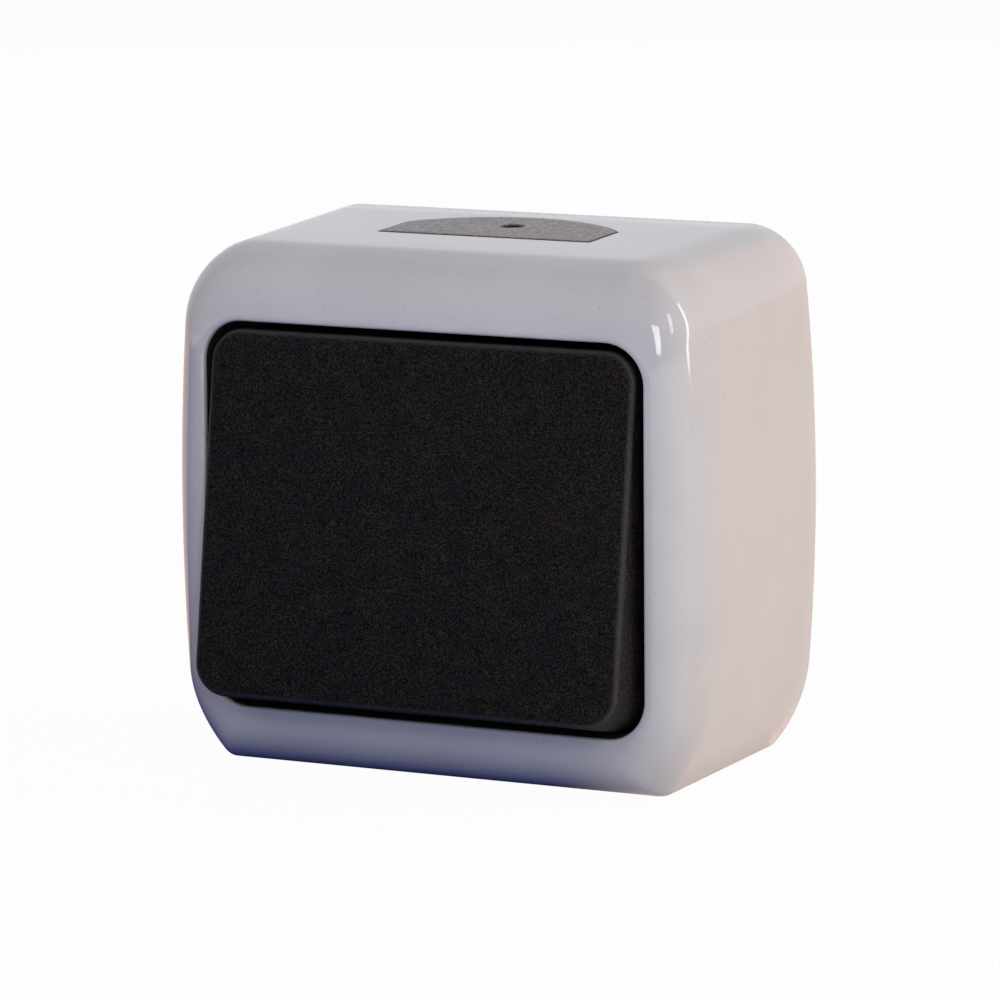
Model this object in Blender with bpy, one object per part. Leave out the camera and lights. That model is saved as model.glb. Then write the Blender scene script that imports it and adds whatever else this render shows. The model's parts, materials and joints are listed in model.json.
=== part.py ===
"""Surface mounted rocker light switch, change-over type, with a soft cable entry in its top wall.

Frame: the origin is the middle of the back face that lies on the wall. X points to the viewer's
right, Y points into the wall, and Z points up. The front faces -Y. All lengths are in metres.
"""
import math

import bmesh
import bpy
import numpy as np

MM = 0.001
GAP = 0.3 * MM                      # clearance kept between pieces that touch

# Housing cover: outline seen from the front
HOUSING_WIDTH = 70.0 * MM
HOUSING_HEIGHT = 63.8 * MM
HOUSING_DEPTH = 38.2 * MM           # wall to the flat of the front frame
HOUSING_WALL = 2.2 * MM
SIDE_BOW = 2.0 * MM                 # how far the sides bulge at mid height
SIDE_DRAFT = 0.2 * MM               # how much further out each side is at the wall
TOP_DRAFT = 1.1 * MM                # how much higher the top is at the wall
TOP_RADIUS_FRONT = 8.2 * MM
TOP_RADIUS_BACK = 6.8 * MM
BOTTOM_RADIUS = 19.0 * MM
BOTTOM_DROP = 7.4 * MM              # the bottom arcs aim this far below the flat bottom
FRONT_EDGE_INSET = 5.9 * MM         # front rounding, measured in from the sides
FRONT_EDGE_DEPTH = 7.6 * MM         # front rounding, measured back from the front
FRONT_WALL = 2.8 * MM
INNER_EDGE_INSET = 1.0 * MM         # bevel inside the front corner of the shell
COVER_SETBACK = 0.4 * MM            # the cover's rim stays this far off the wall

# Opening for the rocker, and the frame left round it
SIDE_FRAME = 6.0 * MM
TOP_FRAME = 8.8 * MM
BOTTOM_FRAME = 7.8 * MM
OPENING_RADIUS = 5.0 * MM
OPENING_EDGE = 0.4 * MM             # small round on the opening's front edge
COLLAR_DEPTH = 4.5 * MM
COLLAR_WALL = 1.0 * MM

# Rocker
ROCKER_SIDE_GAP = 0.95 * MM
ROCKER_END_GAP = 1.4 * MM
ROCKER_WALL = 1.8 * MM
ROCKER_SKIRT = 10.0 * MM
ROCKER_EDGE = 0.9 * MM
ROCKER_LEAST_CORNER = 1.3 * MM      # corner radius kept inside the cap
ROCKER_TILT = math.radians(8.4)     # each way from the middle position
AXIS_BEHIND_FACE = 5.24 * MM
AXIS_BEHIND_FRONT = 2.4 * MM        # rocker axis behind the flat of the front frame
CLIP_WIDTH = 10.0 * MM
CLIP_WALL = 1.6 * MM
CLIP_HOOK = 0.8 * MM
CLIP_REACH = 3.6 * MM

# Rocker carrier
CARRIER_WIDTH = 16.0 * MM
CARRIER_HEIGHT = 18.0 * MM
CARRIER_PLATE = 2.1 * MM
HUB_HEIGHT = 6.4 * MM
HUB_BEHIND_AXIS = 1.8 * MM
TRUNNION_RADIUS = 1.5 * MM
TUBE_RADIUS = 3.3 * MM
TUBE_REACH = 8.0 * MM               # tube's end behind the rocker axis
BORE_FRONT = 0.5 * MM               # bore's blind end in front of the rocker axis

# Plunger and its spring
PLUNGER_RADIUS = 2.0 * MM
PLUNGER_TIP_FLAT = 0.2 * MM         # radius of the small flat on the round tip
PLUNGER_LIFT = 0.5 * MM             # room left between tip and bridge for the throw
SPRING_LENGTH = 4.2 * MM
SPRING_WIRE = 0.25 * MM             # wire radius
SPRING_TURNS = 4.5

# Contact bridge
BRIDGE_BEHIND_AXIS = 15.0 * MM      # bridge pivot behind the rocker axis
BRIDGE_TILT = math.radians(10.5)
BRIDGE_THICKNESS = 1.0 * MM
BRIDGE_HALF_WIDTH = 3.0 * MM
BRIDGE_WAIST = 2.2 * MM
BRIDGE_WAIST_END = 2.8 * MM         # waist's end above and below the pivot
CONTACT_SPACING = 8.5 * MM          # from the pivot to each moving contact
MOVING_CONTACT_RADIUS = 2.1 * MM
MOVING_CONTACT_HEIGHT = 1.4 * MM
FIXED_CONTACT_RADIUS = 2.2 * MM
FIXED_CONTACT_HEIGHT = 1.2 * MM
CONTACT_BEVEL = 0.3 * MM

# Metal strips and terminals
STRIP_THICKNESS = 1.0 * MM
STRIP_HALF_WIDTH = 2.3 * MM
BLADE_THICKNESS = 1.0 * MM
BLADE_SHOULDER = 0.3 * MM           # blade's start in from the common strip's end
TERMINAL_INSET = 6.5 * MM           # socket's side to the middle of a terminal
TERMINAL_Z = 14.5 * MM
CLAMP_WIDTH = 7.4 * MM
CLAMP_LENGTH = 6.0 * MM
CLAMP_WALL = 1.0 * MM
CLAMP_ROOM = 4.7 * MM               # strip to the clamp's front wall
CLAMP_SCREW_RADIUS = 1.3 * MM
CLAMP_SCREW_REACH = 3.1 * MM        # screw end behind the clamp's front wall
CLAMP_HEAD_RADIUS = 2.7 * MM
CLAMP_HEAD_HEIGHT = 1.9 * MM
WIRE_ENTRY = 3.8 * MM

# Mechanism socket and bearing plate
SOCKET_SIDE_ROOM = 14.5 * MM        # socket to the housing's outer side
SOCKET_HEIGHT = 44.0 * MM
SOCKET_RADIUS = 3.0 * MM
SOCKET_FLOOR = 4.1 * MM             # thickness behind the strips
CHAMBER_SIDE_ROOM = 0.9 * MM        # chamber's side walls to the bridge
CHAMBER_HEIGHT = 24.4 * MM
BEARING_PLATE = 2.0 * MM
PLATE_TO_BRIDGE = 3.5 * MM          # bridge pivot to the socket's front face
EAR_THICKNESS = 2.5 * MM
EAR_CLEARANCE = 0.9 * MM
EAR_ROUND = 2.8 * MM
EAR_FOOT = 8.0 * MM
SLOT_WIDTH = 6.8 * MM
SLOT_HEIGHT = 9.2 * MM

# Screws that hold the mechanism and the cover
MECHANISM_SCREW_Z = 15.6 * MM
COVER_SCREW_INSET = 10.2 * MM       # in from the housing's side
SCREW_RADIUS = 1.5 * MM
SCREW_HEAD_RADIUS = 2.8 * MM
SCREW_HEAD_HEIGHT = 1.9 * MM
SCREW_HEAD_BEVEL = 0.4 * MM
SCREW_RECESS = 1.2 * MM             # seat of the mechanism screws in the bearing plate
MECHANISM_SCREW_BITE = 4.5 * MM     # length in the base's post
COVER_SCREW_BITE = 9.0 * MM
DRIVE_SLOT_WIDTH = 0.8 * MM
DRIVE_SLOT_DEPTH = 1.0 * MM

# Base plate
BASE_THICKNESS = 2.5 * MM
BASE_RIM_HEIGHT = 8.0 * MM
BASE_RIM_WALL = 1.6 * MM
POST_RADIUS = 3.7 * MM
COVER_POST_RADIUS = 3.3 * MM
TAB_THICKNESS = 2.5 * MM
TAB_BEHIND_AXIS = 8.6 * MM          # front of the cover's screw tabs behind the rocker axis
WALL_SLOT_SIDE_INSET = 9.6 * MM
WALL_SLOT_END_INSET = 13.4 * MM
WALL_SLOT_WIDTH = 4.6 * MM
WALL_SLOT_LENGTH = 7.6 * MM

# Soft cable entry in the top wall
ENTRY_HALF_WIDTH = 14.3 * MM
ENTRY_FRONT = 20.8 * MM             # wall to the straight front edge
ENTRY_SIDE_END = 12.4 * MM          # wall to where the short sides end
ENTRY_ARC_RISE = 7.3 * MM
ENTRY_LIP = 1.2 * MM
ENTRY_LIP_THICKNESS = 1.3 * MM
ENTRY_PILOT_RADIUS = 1.4 * MM
ENTRY_PILOT_DEPTH = 12.3 * MM       # wall to the pilot hole's centre

# How finely curves are cut into flats
CORNER_STEPS = 7
SIDE_STEPS = 5
EDGE_STEPS = 5
EDGE_TURN = math.radians(62.0)      # front rounding drawn parallel to the outline, up to here
ROUND_STEPS = 20
SCREW_STEPS = 16
SPRING_TURN_STEPS = 14
SPRING_WIRE_STEPS = 6

# Places that follow from the sizes above
OPENING_WIDTH = HOUSING_WIDTH - 2 * SIDE_FRAME
OPENING_HEIGHT = HOUSING_HEIGHT - TOP_FRAME - BOTTOM_FRAME
CENTRE_Z = (BOTTOM_FRAME - TOP_FRAME) / 2
FRONT_Y = -HOUSING_DEPTH
AXIS_Y = FRONT_Y + AXIS_BEHIND_FRONT
BRIDGE_Y = AXIS_Y + BRIDGE_BEHIND_AXIS
SOCKET_FRONT_Y = BRIDGE_Y - PLATE_TO_BRIDGE
PLATE_BACK_Y = SOCKET_FRONT_Y - GAP
PLATE_FRONT_Y = PLATE_BACK_Y - BEARING_PLATE
TIP_REACH = ((GAP + MOVING_CONTACT_HEIGHT) * math.cos(BRIDGE_TILT)
             + (CONTACT_SPACING + MOVING_CONTACT_RADIUS) * math.sin(BRIDGE_TILT))
FIXED_FACE_Y = BRIDGE_Y + TIP_REACH + GAP
STRIP_FRONT_Y = FIXED_FACE_Y + FIXED_CONTACT_HEIGHT + GAP
STRIP_BACK_Y = STRIP_FRONT_Y + STRIP_THICKNESS
CHAMBER_FLOOR_Y = STRIP_BACK_Y + GAP
WELL_FLOOR_Y = CHAMBER_FLOOR_Y + CLAMP_WALL + GAP
SOCKET_BACK_Y = CHAMBER_FLOOR_Y + SOCKET_FLOOR
CHAMBER_WIDTH = 2 * (BRIDGE_HALF_WIDTH + CHAMBER_SIDE_ROOM)
WELL_WIDTH = CLAMP_WIDTH + 2 * GAP
WELL_LENGTH = CLAMP_LENGTH + 4 * GAP
BORE_RADIUS = PLUNGER_RADIUS + GAP
FIXED_CONTACT_Z = (CONTACT_SPACING * math.cos(BRIDGE_TILT)
                   - (GAP + MOVING_CONTACT_HEIGHT) * math.sin(BRIDGE_TILT))
SOCKET_WIDTH = HOUSING_WIDTH - 2 * SOCKET_SIDE_ROOM
TERMINAL_X = SOCKET_WIDTH / 2 - TERMINAL_INSET
COVER_SCREW_X = HOUSING_WIDTH / 2 - COVER_SCREW_INSET
WALL_SLOT_X = HOUSING_WIDTH / 2 - WALL_SLOT_SIDE_INSET
WALL_SLOT_Z = HOUSING_HEIGHT / 2 - WALL_SLOT_END_INSET
TAB_FRONT_Y = AXIS_Y + TAB_BEHIND_AXIS
TAB_BACK_Y = TAB_FRONT_Y + TAB_THICKNESS
MECHANISM_SEAT_Y = PLATE_FRONT_Y + SCREW_RECESS
SCREW_HOLE_RADIUS = SCREW_RADIUS + GAP


# Mesh helpers

def clear_scene():
    """Removes whatever the scene holds."""
    for old in list(bpy.data.objects):
        bpy.data.objects.remove(old, do_unlink=True)


def make_material(name, colour, roughness, metallic=0.0):
    """One Principled material."""
    made = bpy.data.materials.new(name)
    made.use_nodes = True
    shader = made.node_tree.nodes["Principled BSDF"]
    shader.inputs["Base Color"].default_value = (*colour, 1.0)
    shader.inputs["Roughness"].default_value = roughness
    shader.inputs["Metallic"].default_value = metallic
    return made


def add_object(name, shape, material=None, parent=None):
    """Puts a bmesh into the scene as an object whose faces point outwards."""
    bmesh.ops.recalc_face_normals(shape, faces=shape.faces[:])
    mesh = bpy.data.meshes.new(name)
    shape.to_mesh(mesh)
    shape.free()
    made = bpy.data.objects.new(name, mesh)
    bpy.context.scene.collection.objects.link(made)
    if material:
        mesh.materials.append(material)
    if parent:
        made.parent = parent
    return made


def add_empty(name, location, turn_about_x):
    """An empty that stands on a joint's axis."""
    made = bpy.data.objects.new(name, None)
    made.location = location
    made.rotation_euler = (turn_about_x, 0.0, 0.0)
    made.empty_display_size = 5 * MM
    bpy.context.scene.collection.objects.link(made)
    return made


def loft(shape, rings, cap=True, closed=False):
    """Joins rings of equal point count with quads; caps both ends, or closes the row of rings."""
    rows = [[shape.verts.new(tuple(point)) for point in ring] for ring in rings]
    if closed:
        rows.append(rows[0])
    for low, high in zip(rows, rows[1:]):
        for index in range(len(low)):
            following = (index + 1) % len(low)
            shape.faces.new((low[index], low[following], high[following], high[index]))
    if cap and not closed:
        shape.faces.new(rows[0])
        shape.faces.new(list(reversed(rows[-1])))
    return shape


def at_y(points, y):
    """Places an X, Z outline at one Y."""
    return [(x, y, z) for x, z in points]


def at_x(points, x):
    """Places a Y, Z outline at one X."""
    return [(x, y, z) for y, z in points]


def prism_y(shape, points, y_front, y_back):
    """An X, Z outline drawn out along Y."""
    return loft(shape, [at_y(points, y_front), at_y(points, y_back)])


def prism_x(shape, points, x_low, x_high):
    """A Y, Z outline drawn out along X."""
    return loft(shape, [at_x(points, x_low), at_x(points, x_high)])


def circle(radius, centre=(0.0, 0.0), steps=ROUND_STEPS):
    """Points round a circle."""
    angles = np.linspace(0.0, 2 * math.pi, steps, endpoint=False)
    return [(centre[0] + radius * math.cos(a), centre[1] + radius * math.sin(a)) for a in angles]


def rectangle(width, height, centre=(0.0, 0.0)):
    """The four corners of a rectangle."""
    x, z = centre
    return [(x - width / 2, z - height / 2), (x + width / 2, z - height / 2),
            (x + width / 2, z + height / 2), (x - width / 2, z + height / 2)]


def turned(shape, profile, centre, steps=ROUND_STEPS):
    """A closed solid turned about a line along Y; profile lists (y, radius), centre is (x, z)."""
    return loft(shape, [at_y(circle(radius, centre, steps), y) for y, radius in profile])


def slot_outline(width, length, centre):
    """An upright slot with round ends."""
    radius, straight = width / 2, (length - width) / 2
    upper = [(radius * math.cos(a), straight + radius * math.sin(a))
             for a in np.linspace(0.0, math.pi, CORNER_STEPS)]
    lower = [(-x, -z) for x, z in upper]
    return [(centre[0] + x, centre[1] + z) for x, z in upper + lower]


def outline(half_width, z_top, z_bottom, top_radius, bottom_radius, drop=0.0, bow=0.0):
    """A rounded outline, flat at the bottom and with sides that bulge by bow at mid height.

    The bottom arcs would end drop below the flat, so they meet it at an angle. Outlines from
    this function have the same number of points, in the same order.
    """
    side = half_width - bow
    arc_z = z_bottom - drop + bottom_radius
    cut = math.asin(min((arc_z - z_bottom) / bottom_radius, 1.0))
    angles = np.linspace(0.0, math.pi / 2, CORNER_STEPS + 1)
    right = [(side - top_radius * (1 - math.sin(a)), z_top - top_radius * (1 - math.cos(a)))
             for a in angles]
    right += [(side, z) for z in np.linspace(z_top - top_radius, arc_z, SIDE_STEPS + 1)[1:-1]]
    right += [(side - bottom_radius * (1 - math.cos(a)), arc_z - bottom_radius * math.sin(a))
              for a in angles / angles[-1] * cut]
    middle, half = (z_top + z_bottom) / 2, (z_top - z_bottom) / 2
    right = [(x * (1 + bow * (1 - ((z - middle) / half) ** 2) / side), z) for x, z in right]
    return right + [(-x, z) for x, z in reversed(right)]


def top_height(depth):
    """Height of the housing's top face at a distance from the wall."""
    return HOUSING_HEIGHT / 2 + TOP_DRAFT * (1 - depth / HOUSING_DEPTH)


def housing_outline(depth, inset):
    """The housing's outline at a distance from the wall, drawn in by inset."""
    share = depth / HOUSING_DEPTH
    half_width = HOUSING_WIDTH / 2 + SIDE_DRAFT * (1 - share)
    top_radius = TOP_RADIUS_BACK + (TOP_RADIUS_FRONT - TOP_RADIUS_BACK) * share
    return outline(half_width - inset, top_height(depth) - inset, -HOUSING_HEIGHT / 2 + inset,
                   top_radius - inset, BOTTOM_RADIUS - inset, BOTTOM_DROP, SIDE_BOW)


def opening_outline(grow):
    """The rocker opening's outline, grown all round."""
    radius = OPENING_RADIUS + grow
    return outline(OPENING_WIDTH / 2 + grow, CENTRE_Z + OPENING_HEIGHT / 2 + grow,
                   CENTRE_Z - OPENING_HEIGHT / 2 - grow, radius, radius)


def front_points(points, behind=0.0):
    """X, Z points laid on the front surface, or behind it.

    The surface falls away from its flat by a quarter ellipse of the distance to the outline.
    """
    start = np.array(housing_outline(HOUSING_DEPTH, 0.0))
    run = np.roll(start, -1, axis=0) - start
    away = np.array(points)[:, None, :] - start
    share = np.clip((away * run).sum(axis=-1) / (run ** 2).sum(axis=-1), 0.0, 1.0)
    distance = np.linalg.norm(away - share[..., None] * run, axis=-1).min(axis=1)
    rest = np.clip(1 - distance / FRONT_EDGE_INSET, 0.0, 1.0)
    fall = FRONT_EDGE_DEPTH * (1 - np.sqrt(1 - rest ** 2))
    return [(x, FRONT_Y + behind + y, z) for (x, z), y in zip(points, fall)]


def entry_outline(grow):
    """The cable entry seen from above: straight front and sides and an arched back, as (x, y)."""
    arc_radius = (ENTRY_HALF_WIDTH ** 2 + ENTRY_ARC_RISE ** 2) / (2 * ENTRY_ARC_RISE)
    arc_y = -ENTRY_SIDE_END + ENTRY_ARC_RISE - arc_radius
    half = ENTRY_HALF_WIDTH + grow
    reach = math.asin(half / (arc_radius + grow))
    arc = [((arc_radius + grow) * math.sin(a), arc_y + (arc_radius + grow) * math.cos(a))
           for a in np.linspace(reach, -reach, 2 * CORNER_STEPS)]
    front = -ENTRY_FRONT - grow
    return [(-half, front), (half, front)] + arc


def entry_ring(grow, below_top):
    """The cable entry's outline laid under the sloping top face."""
    return [(x, y, top_height(-y) - below_top) for x, y in entry_outline(grow)]


def strip_outline(points, half_width):
    """A bent strip's outline from its centre line, whose bends are square."""
    line = np.array(points)
    runs = np.diff(line, axis=0)
    runs /= np.linalg.norm(runs, axis=1)[:, None]
    sides = np.stack([-runs[:, 1], runs[:, 0]], axis=1) * half_width
    corners = np.vstack([sides[:1], sides[:-1] + sides[1:], sides[-1:]])
    return [tuple(p) for p in np.vstack([line + corners, (line - corners)[::-1]])]


def cut_or_join(target, name, shape, operation="DIFFERENCE"):
    """Boolean with a hidden tool object."""
    tool = add_object(name, shape)
    tool.hide_render = True
    tool.display_type = "WIRE"
    tool.parent = target.parent
    modifier = target.modifiers.new(name, "BOOLEAN")
    modifier.operation = operation
    modifier.object = tool


def smooth(target, angle=35.0):
    """Smooth shading with edges sharper than the angle kept."""
    target.data.shade_smooth()
    target.data.set_sharp_from_angle(angle=math.radians(angle))


def screw_points():
    """X, Z places of the two mechanism screws and the two cover screws."""
    mechanism = {"top": (0.0, CENTRE_Z + MECHANISM_SCREW_Z),
                 "bottom": (0.0, CENTRE_Z - MECHANISM_SCREW_Z)}
    cover = {"left": (-COVER_SCREW_X, CENTRE_Z), "right": (COVER_SCREW_X, CENTRE_Z)}
    return mechanism, cover


def terminal_points():
    """X, Z places of the three wire terminals."""
    return {"throw_1": (-TERMINAL_X, CENTRE_Z + TERMINAL_Z),
            "throw_2": (-TERMINAL_X, CENTRE_Z - TERMINAL_Z),
            "common": (TERMINAL_X, CENTRE_Z + TERMINAL_Z)}


def strip_lines(extra=0.0):
    """Centre lines of the three metal strips; extra lengthens both ends."""
    end = TERMINAL_Z + WELL_LENGTH / 2 - 2 * GAP + extra
    pad = STRIP_HALF_WIDTH + extra
    up = CENTRE_Z + FIXED_CONTACT_Z
    down = CENTRE_Z - FIXED_CONTACT_Z
    return {"throw_1": [(pad, up), (-TERMINAL_X, up), (-TERMINAL_X, CENTRE_Z + end)],
            "throw_2": [(pad, down), (-TERMINAL_X, down), (-TERMINAL_X, CENTRE_Z - end)],
            "common": [(-pad, CENTRE_Z), (TERMINAL_X, CENTRE_Z), (TERMINAL_X, CENTRE_Z + end)]}


# Housing

def build_cover(plastic):
    """The glossy shell: one moulding with the rocker opening, its collar and two screw tabs."""
    rings = [at_y(housing_outline(COVER_SETBACK, 0.0), -COVER_SETBACK)]
    for a in np.linspace(0.0, EDGE_TURN, EDGE_STEPS):
        depth = HOUSING_DEPTH - FRONT_EDGE_DEPTH * (1 - math.sin(a))
        inset = FRONT_EDGE_INSET * (1 - math.cos(a))
        rings.append(at_y(housing_outline(depth, inset), -depth))
    bend_end = np.array(housing_outline(HOUSING_DEPTH, inset))
    rim = np.array(opening_outline(OPENING_EDGE))
    inner_front = HOUSING_DEPTH - FRONT_WALL
    rings += [
        front_points((bend_end + rim) / 2),
        front_points(rim),
        front_points(opening_outline(0.0), OPENING_EDGE),
        at_y(opening_outline(0.0), FRONT_Y + COLLAR_DEPTH),
        at_y(opening_outline(COLLAR_WALL), FRONT_Y + COLLAR_DEPTH),
        at_y(opening_outline(COLLAR_WALL), -inner_front),
        at_y(housing_outline(inner_front, HOUSING_WALL + INNER_EDGE_INSET), -inner_front),
        at_y(housing_outline(HOUSING_DEPTH - FRONT_EDGE_DEPTH, HOUSING_WALL),
             FRONT_Y + FRONT_EDGE_DEPTH),
        at_y(housing_outline(COVER_SETBACK, HOUSING_WALL), -COVER_SETBACK),
    ]
    cover = add_object("cover", loft(bmesh.new(), rings, closed=True), plastic)

    tabs = bmesh.new()
    tab_width = 2 * (SCREW_HEAD_RADIUS + GAP)
    tab_end = HOUSING_WIDTH / 2 - HOUSING_WALL / 2
    tab_start = COVER_SCREW_X - SCREW_HEAD_RADIUS - GAP
    for side in (-1, 1):
        middle = side * (tab_start + tab_end) / 2
        prism_y(tabs, rectangle(tab_end - tab_start, tab_width, (middle, CENTRE_Z)),
                TAB_FRONT_Y, TAB_BACK_Y)
    cut_or_join(cover, "tab_tool", tabs, "UNION")

    holes = bmesh.new()
    for centre in screw_points()[1].values():
        prism_y(holes, circle(SCREW_HOLE_RADIUS, centre), TAB_FRONT_Y - GAP, TAB_BACK_Y + GAP)
    loft(holes, [entry_ring(0.0, -HOUSING_WALL), entry_ring(0.0, 2 * HOUSING_WALL)])
    cut_or_join(cover, "cover_hole_tool", holes)
    smooth(cover)


def build_cable_entry(rubber):
    """The soft insert in the top wall, with a lip under the wall and a pilot hole to pierce."""
    under_wall = HOUSING_WALL + GAP
    rings = [entry_ring(-GAP, 0.0), entry_ring(-GAP, under_wall),
             entry_ring(ENTRY_LIP, under_wall),
             entry_ring(ENTRY_LIP, under_wall + ENTRY_LIP_THICKNESS)]
    entry = add_object("cable_entry_membrane", loft(bmesh.new(), rings), rubber)
    above = top_height(ENTRY_PILOT_DEPTH) + 2 * GAP
    below = above - under_wall - ENTRY_LIP_THICKNESS - 4 * GAP
    hole = [[(x, y - ENTRY_PILOT_DEPTH, level) for x, y in circle(ENTRY_PILOT_RADIUS)]
            for level in (above, below)]
    cut_or_join(entry, "pilot_tool", loft(bmesh.new(), hole))


def build_base(plastic):
    """The tray that is screwed to the wall, with posts for the mechanism and for the cover."""
    inset = HOUSING_WALL + GAP
    rings = [at_y(housing_outline(0.0, inset), 0.0),
             at_y(housing_outline(BASE_RIM_HEIGHT, inset), -BASE_RIM_HEIGHT),
             at_y(housing_outline(BASE_RIM_HEIGHT, inset + BASE_RIM_WALL), -BASE_RIM_HEIGHT),
             at_y(housing_outline(BASE_THICKNESS, inset + BASE_RIM_WALL), -BASE_THICKNESS)]
    base = add_object("base_plate", loft(bmesh.new(), rings), plastic)

    mechanism, cover = screw_points()
    posts = bmesh.new()
    for centre in mechanism.values():
        prism_y(posts, circle(POST_RADIUS, centre), SOCKET_BACK_Y + GAP, -BASE_THICKNESS / 2)
    for centre in cover.values():
        prism_y(posts, circle(COVER_POST_RADIUS, centre), TAB_BACK_Y + GAP, -BASE_THICKNESS / 2)
    cut_or_join(base, "post_tool", posts, "UNION")

    cuts = bmesh.new()
    for centre in mechanism.values():
        prism_y(cuts, circle(SCREW_HOLE_RADIUS, centre), SOCKET_BACK_Y - GAP,
                SOCKET_BACK_Y + MECHANISM_SCREW_BITE + 2 * GAP)
    for centre in cover.values():
        prism_y(cuts, circle(SCREW_HOLE_RADIUS, centre), TAB_BACK_Y - GAP,
                TAB_BACK_Y + COVER_SCREW_BITE + 2 * GAP)
    for side in (-1, 1):
        place = (side * WALL_SLOT_X, -side * WALL_SLOT_Z)
        prism_y(cuts, slot_outline(WALL_SLOT_WIDTH, WALL_SLOT_LENGTH, place),
                -2 * BASE_THICKNESS, BASE_THICKNESS)
    notch_width = 2 * (ENTRY_HALF_WIDTH + ENTRY_LIP + 2 * GAP)
    notch_height = 2 * (inset + BASE_RIM_WALL + GAP)
    notch = rectangle(notch_width, notch_height, (0.0, HOUSING_HEIGHT / 2))
    prism_y(cuts, notch, -BASE_RIM_HEIGHT - GAP, -BASE_THICKNESS)
    cut_or_join(base, "base_cut_tool", cuts)


def build_screw(name, centre, y_seat, y_end, shank, head, head_height, steel):
    """A cheese-head screw along Y with a driving slot; its head sits in front of y_seat."""
    head_back = y_seat - GAP
    head_front = head_back - head_height
    profile = [(head_front, head - SCREW_HEAD_BEVEL), (head_front + SCREW_HEAD_BEVEL, head),
               (head_back, head), (head_back, shank), (y_end, shank)]
    screw = add_object(name, turned(bmesh.new(), profile, centre, SCREW_STEPS), steel)
    slot = bmesh.new()
    prism_y(slot, rectangle(2 * head + 2 * GAP, DRIVE_SLOT_WIDTH, centre), head_front - GAP,
            head_front + DRIVE_SLOT_DEPTH)
    cut_or_join(screw, name + "_slot_tool", slot)
    smooth(screw)


# Mechanism that does not move

def build_socket(thermoset):
    """The moulded socket with the contact chamber, terminal wells and strip channels."""
    half = SOCKET_WIDTH / 2
    top, bottom = CENTRE_Z + SOCKET_HEIGHT / 2, CENTRE_Z - SOCKET_HEIGHT / 2
    block = outline(half, top, bottom, SOCKET_RADIUS, SOCKET_RADIUS)
    socket = add_object("mechanism_socket",
                        prism_y(bmesh.new(), block, SOCKET_FRONT_Y, SOCKET_BACK_Y), thermoset)
    front = SOCKET_FRONT_Y - GAP

    rooms = bmesh.new()
    prism_y(rooms, rectangle(CHAMBER_WIDTH, CHAMBER_HEIGHT, (0.0, CENTRE_Z)), front,
            CHAMBER_FLOOR_Y)
    for centre in terminal_points().values():
        prism_y(rooms, rectangle(WELL_WIDTH, WELL_LENGTH, centre), front, WELL_FLOOR_Y)
    for centre in screw_points()[0].values():
        prism_y(rooms, circle(SCREW_HOLE_RADIUS, centre), front, SOCKET_BACK_Y + GAP)
    cut_or_join(socket, "room_tool", rooms)

    channels = bmesh.new()
    for line in strip_lines(GAP).values():
        prism_y(channels, strip_outline(line, STRIP_HALF_WIDTH + GAP), front - GAP,
                CHAMBER_FLOOR_Y)
    cut_or_join(socket, "channel_tool", channels)

    entries = bmesh.new()
    for x, z in terminal_points().values():
        outward = 1 if z > CENTRE_Z else -1
        edge = CENTRE_Z + outward * SOCKET_HEIGHT / 2
        box = rectangle(WIRE_ENTRY, 2 * abs(edge - z), (x, z + outward * abs(edge - z)))
        prism_y(entries, box, STRIP_FRONT_Y - WIRE_ENTRY, STRIP_FRONT_Y)
    cut_or_join(socket, "wire_entry_tool", entries)


def build_bearing_plate(plastic):
    """The plate over the socket, with two ears that carry the rocker's trunnions."""
    half = SOCKET_WIDTH / 2
    top, bottom = CENTRE_Z + SOCKET_HEIGHT / 2, CENTRE_Z - SOCKET_HEIGHT / 2
    sheet = outline(half, top, bottom, SOCKET_RADIUS, SOCKET_RADIUS)
    plate = add_object("bearing_plate",
                       prism_y(bmesh.new(), sheet, PLATE_FRONT_Y, PLATE_BACK_Y), plastic)

    ears = bmesh.new()
    foot_y = PLATE_FRONT_Y + BEARING_PLATE / 2
    arch = [(AXIS_Y - EAR_ROUND * math.sin(a), CENTRE_Z + EAR_ROUND * math.cos(a))
            for a in np.linspace(0.0, math.pi, CORNER_STEPS + 3)]
    profile = arch + [(foot_y, CENTRE_Z - EAR_FOOT / 2), (foot_y, CENTRE_Z + EAR_FOOT / 2)]
    inner = CARRIER_WIDTH / 2 + EAR_CLEARANCE
    for side in (-1, 1):
        prism_x(ears, profile, side * inner, side * (inner + EAR_THICKNESS))
    cut_or_join(plate, "ear_tool", ears, "UNION")

    holes = bmesh.new()
    beyond = CARRIER_WIDTH
    prism_x(holes, circle(TRUNNION_RADIUS + GAP, (AXIS_Y, CENTRE_Z)), -beyond, beyond)
    low, high = PLATE_FRONT_Y - GAP, PLATE_BACK_Y + GAP
    for centre in terminal_points().values():
        prism_y(holes, circle(CLAMP_HEAD_RADIUS + 2 * GAP, centre), low, high)
    prism_y(holes, rectangle(SLOT_WIDTH, SLOT_HEIGHT, (0.0, CENTRE_Z)), low, high)
    for centre in screw_points()[0].values():
        profile = [(low, SCREW_HEAD_RADIUS + GAP), (MECHANISM_SEAT_Y, SCREW_HEAD_RADIUS + GAP),
                   (MECHANISM_SEAT_Y, SCREW_HOLE_RADIUS), (high, SCREW_HOLE_RADIUS)]
        turned(holes, profile, centre)
    cut_or_join(plate, "bearing_hole_tool", holes)


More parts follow.
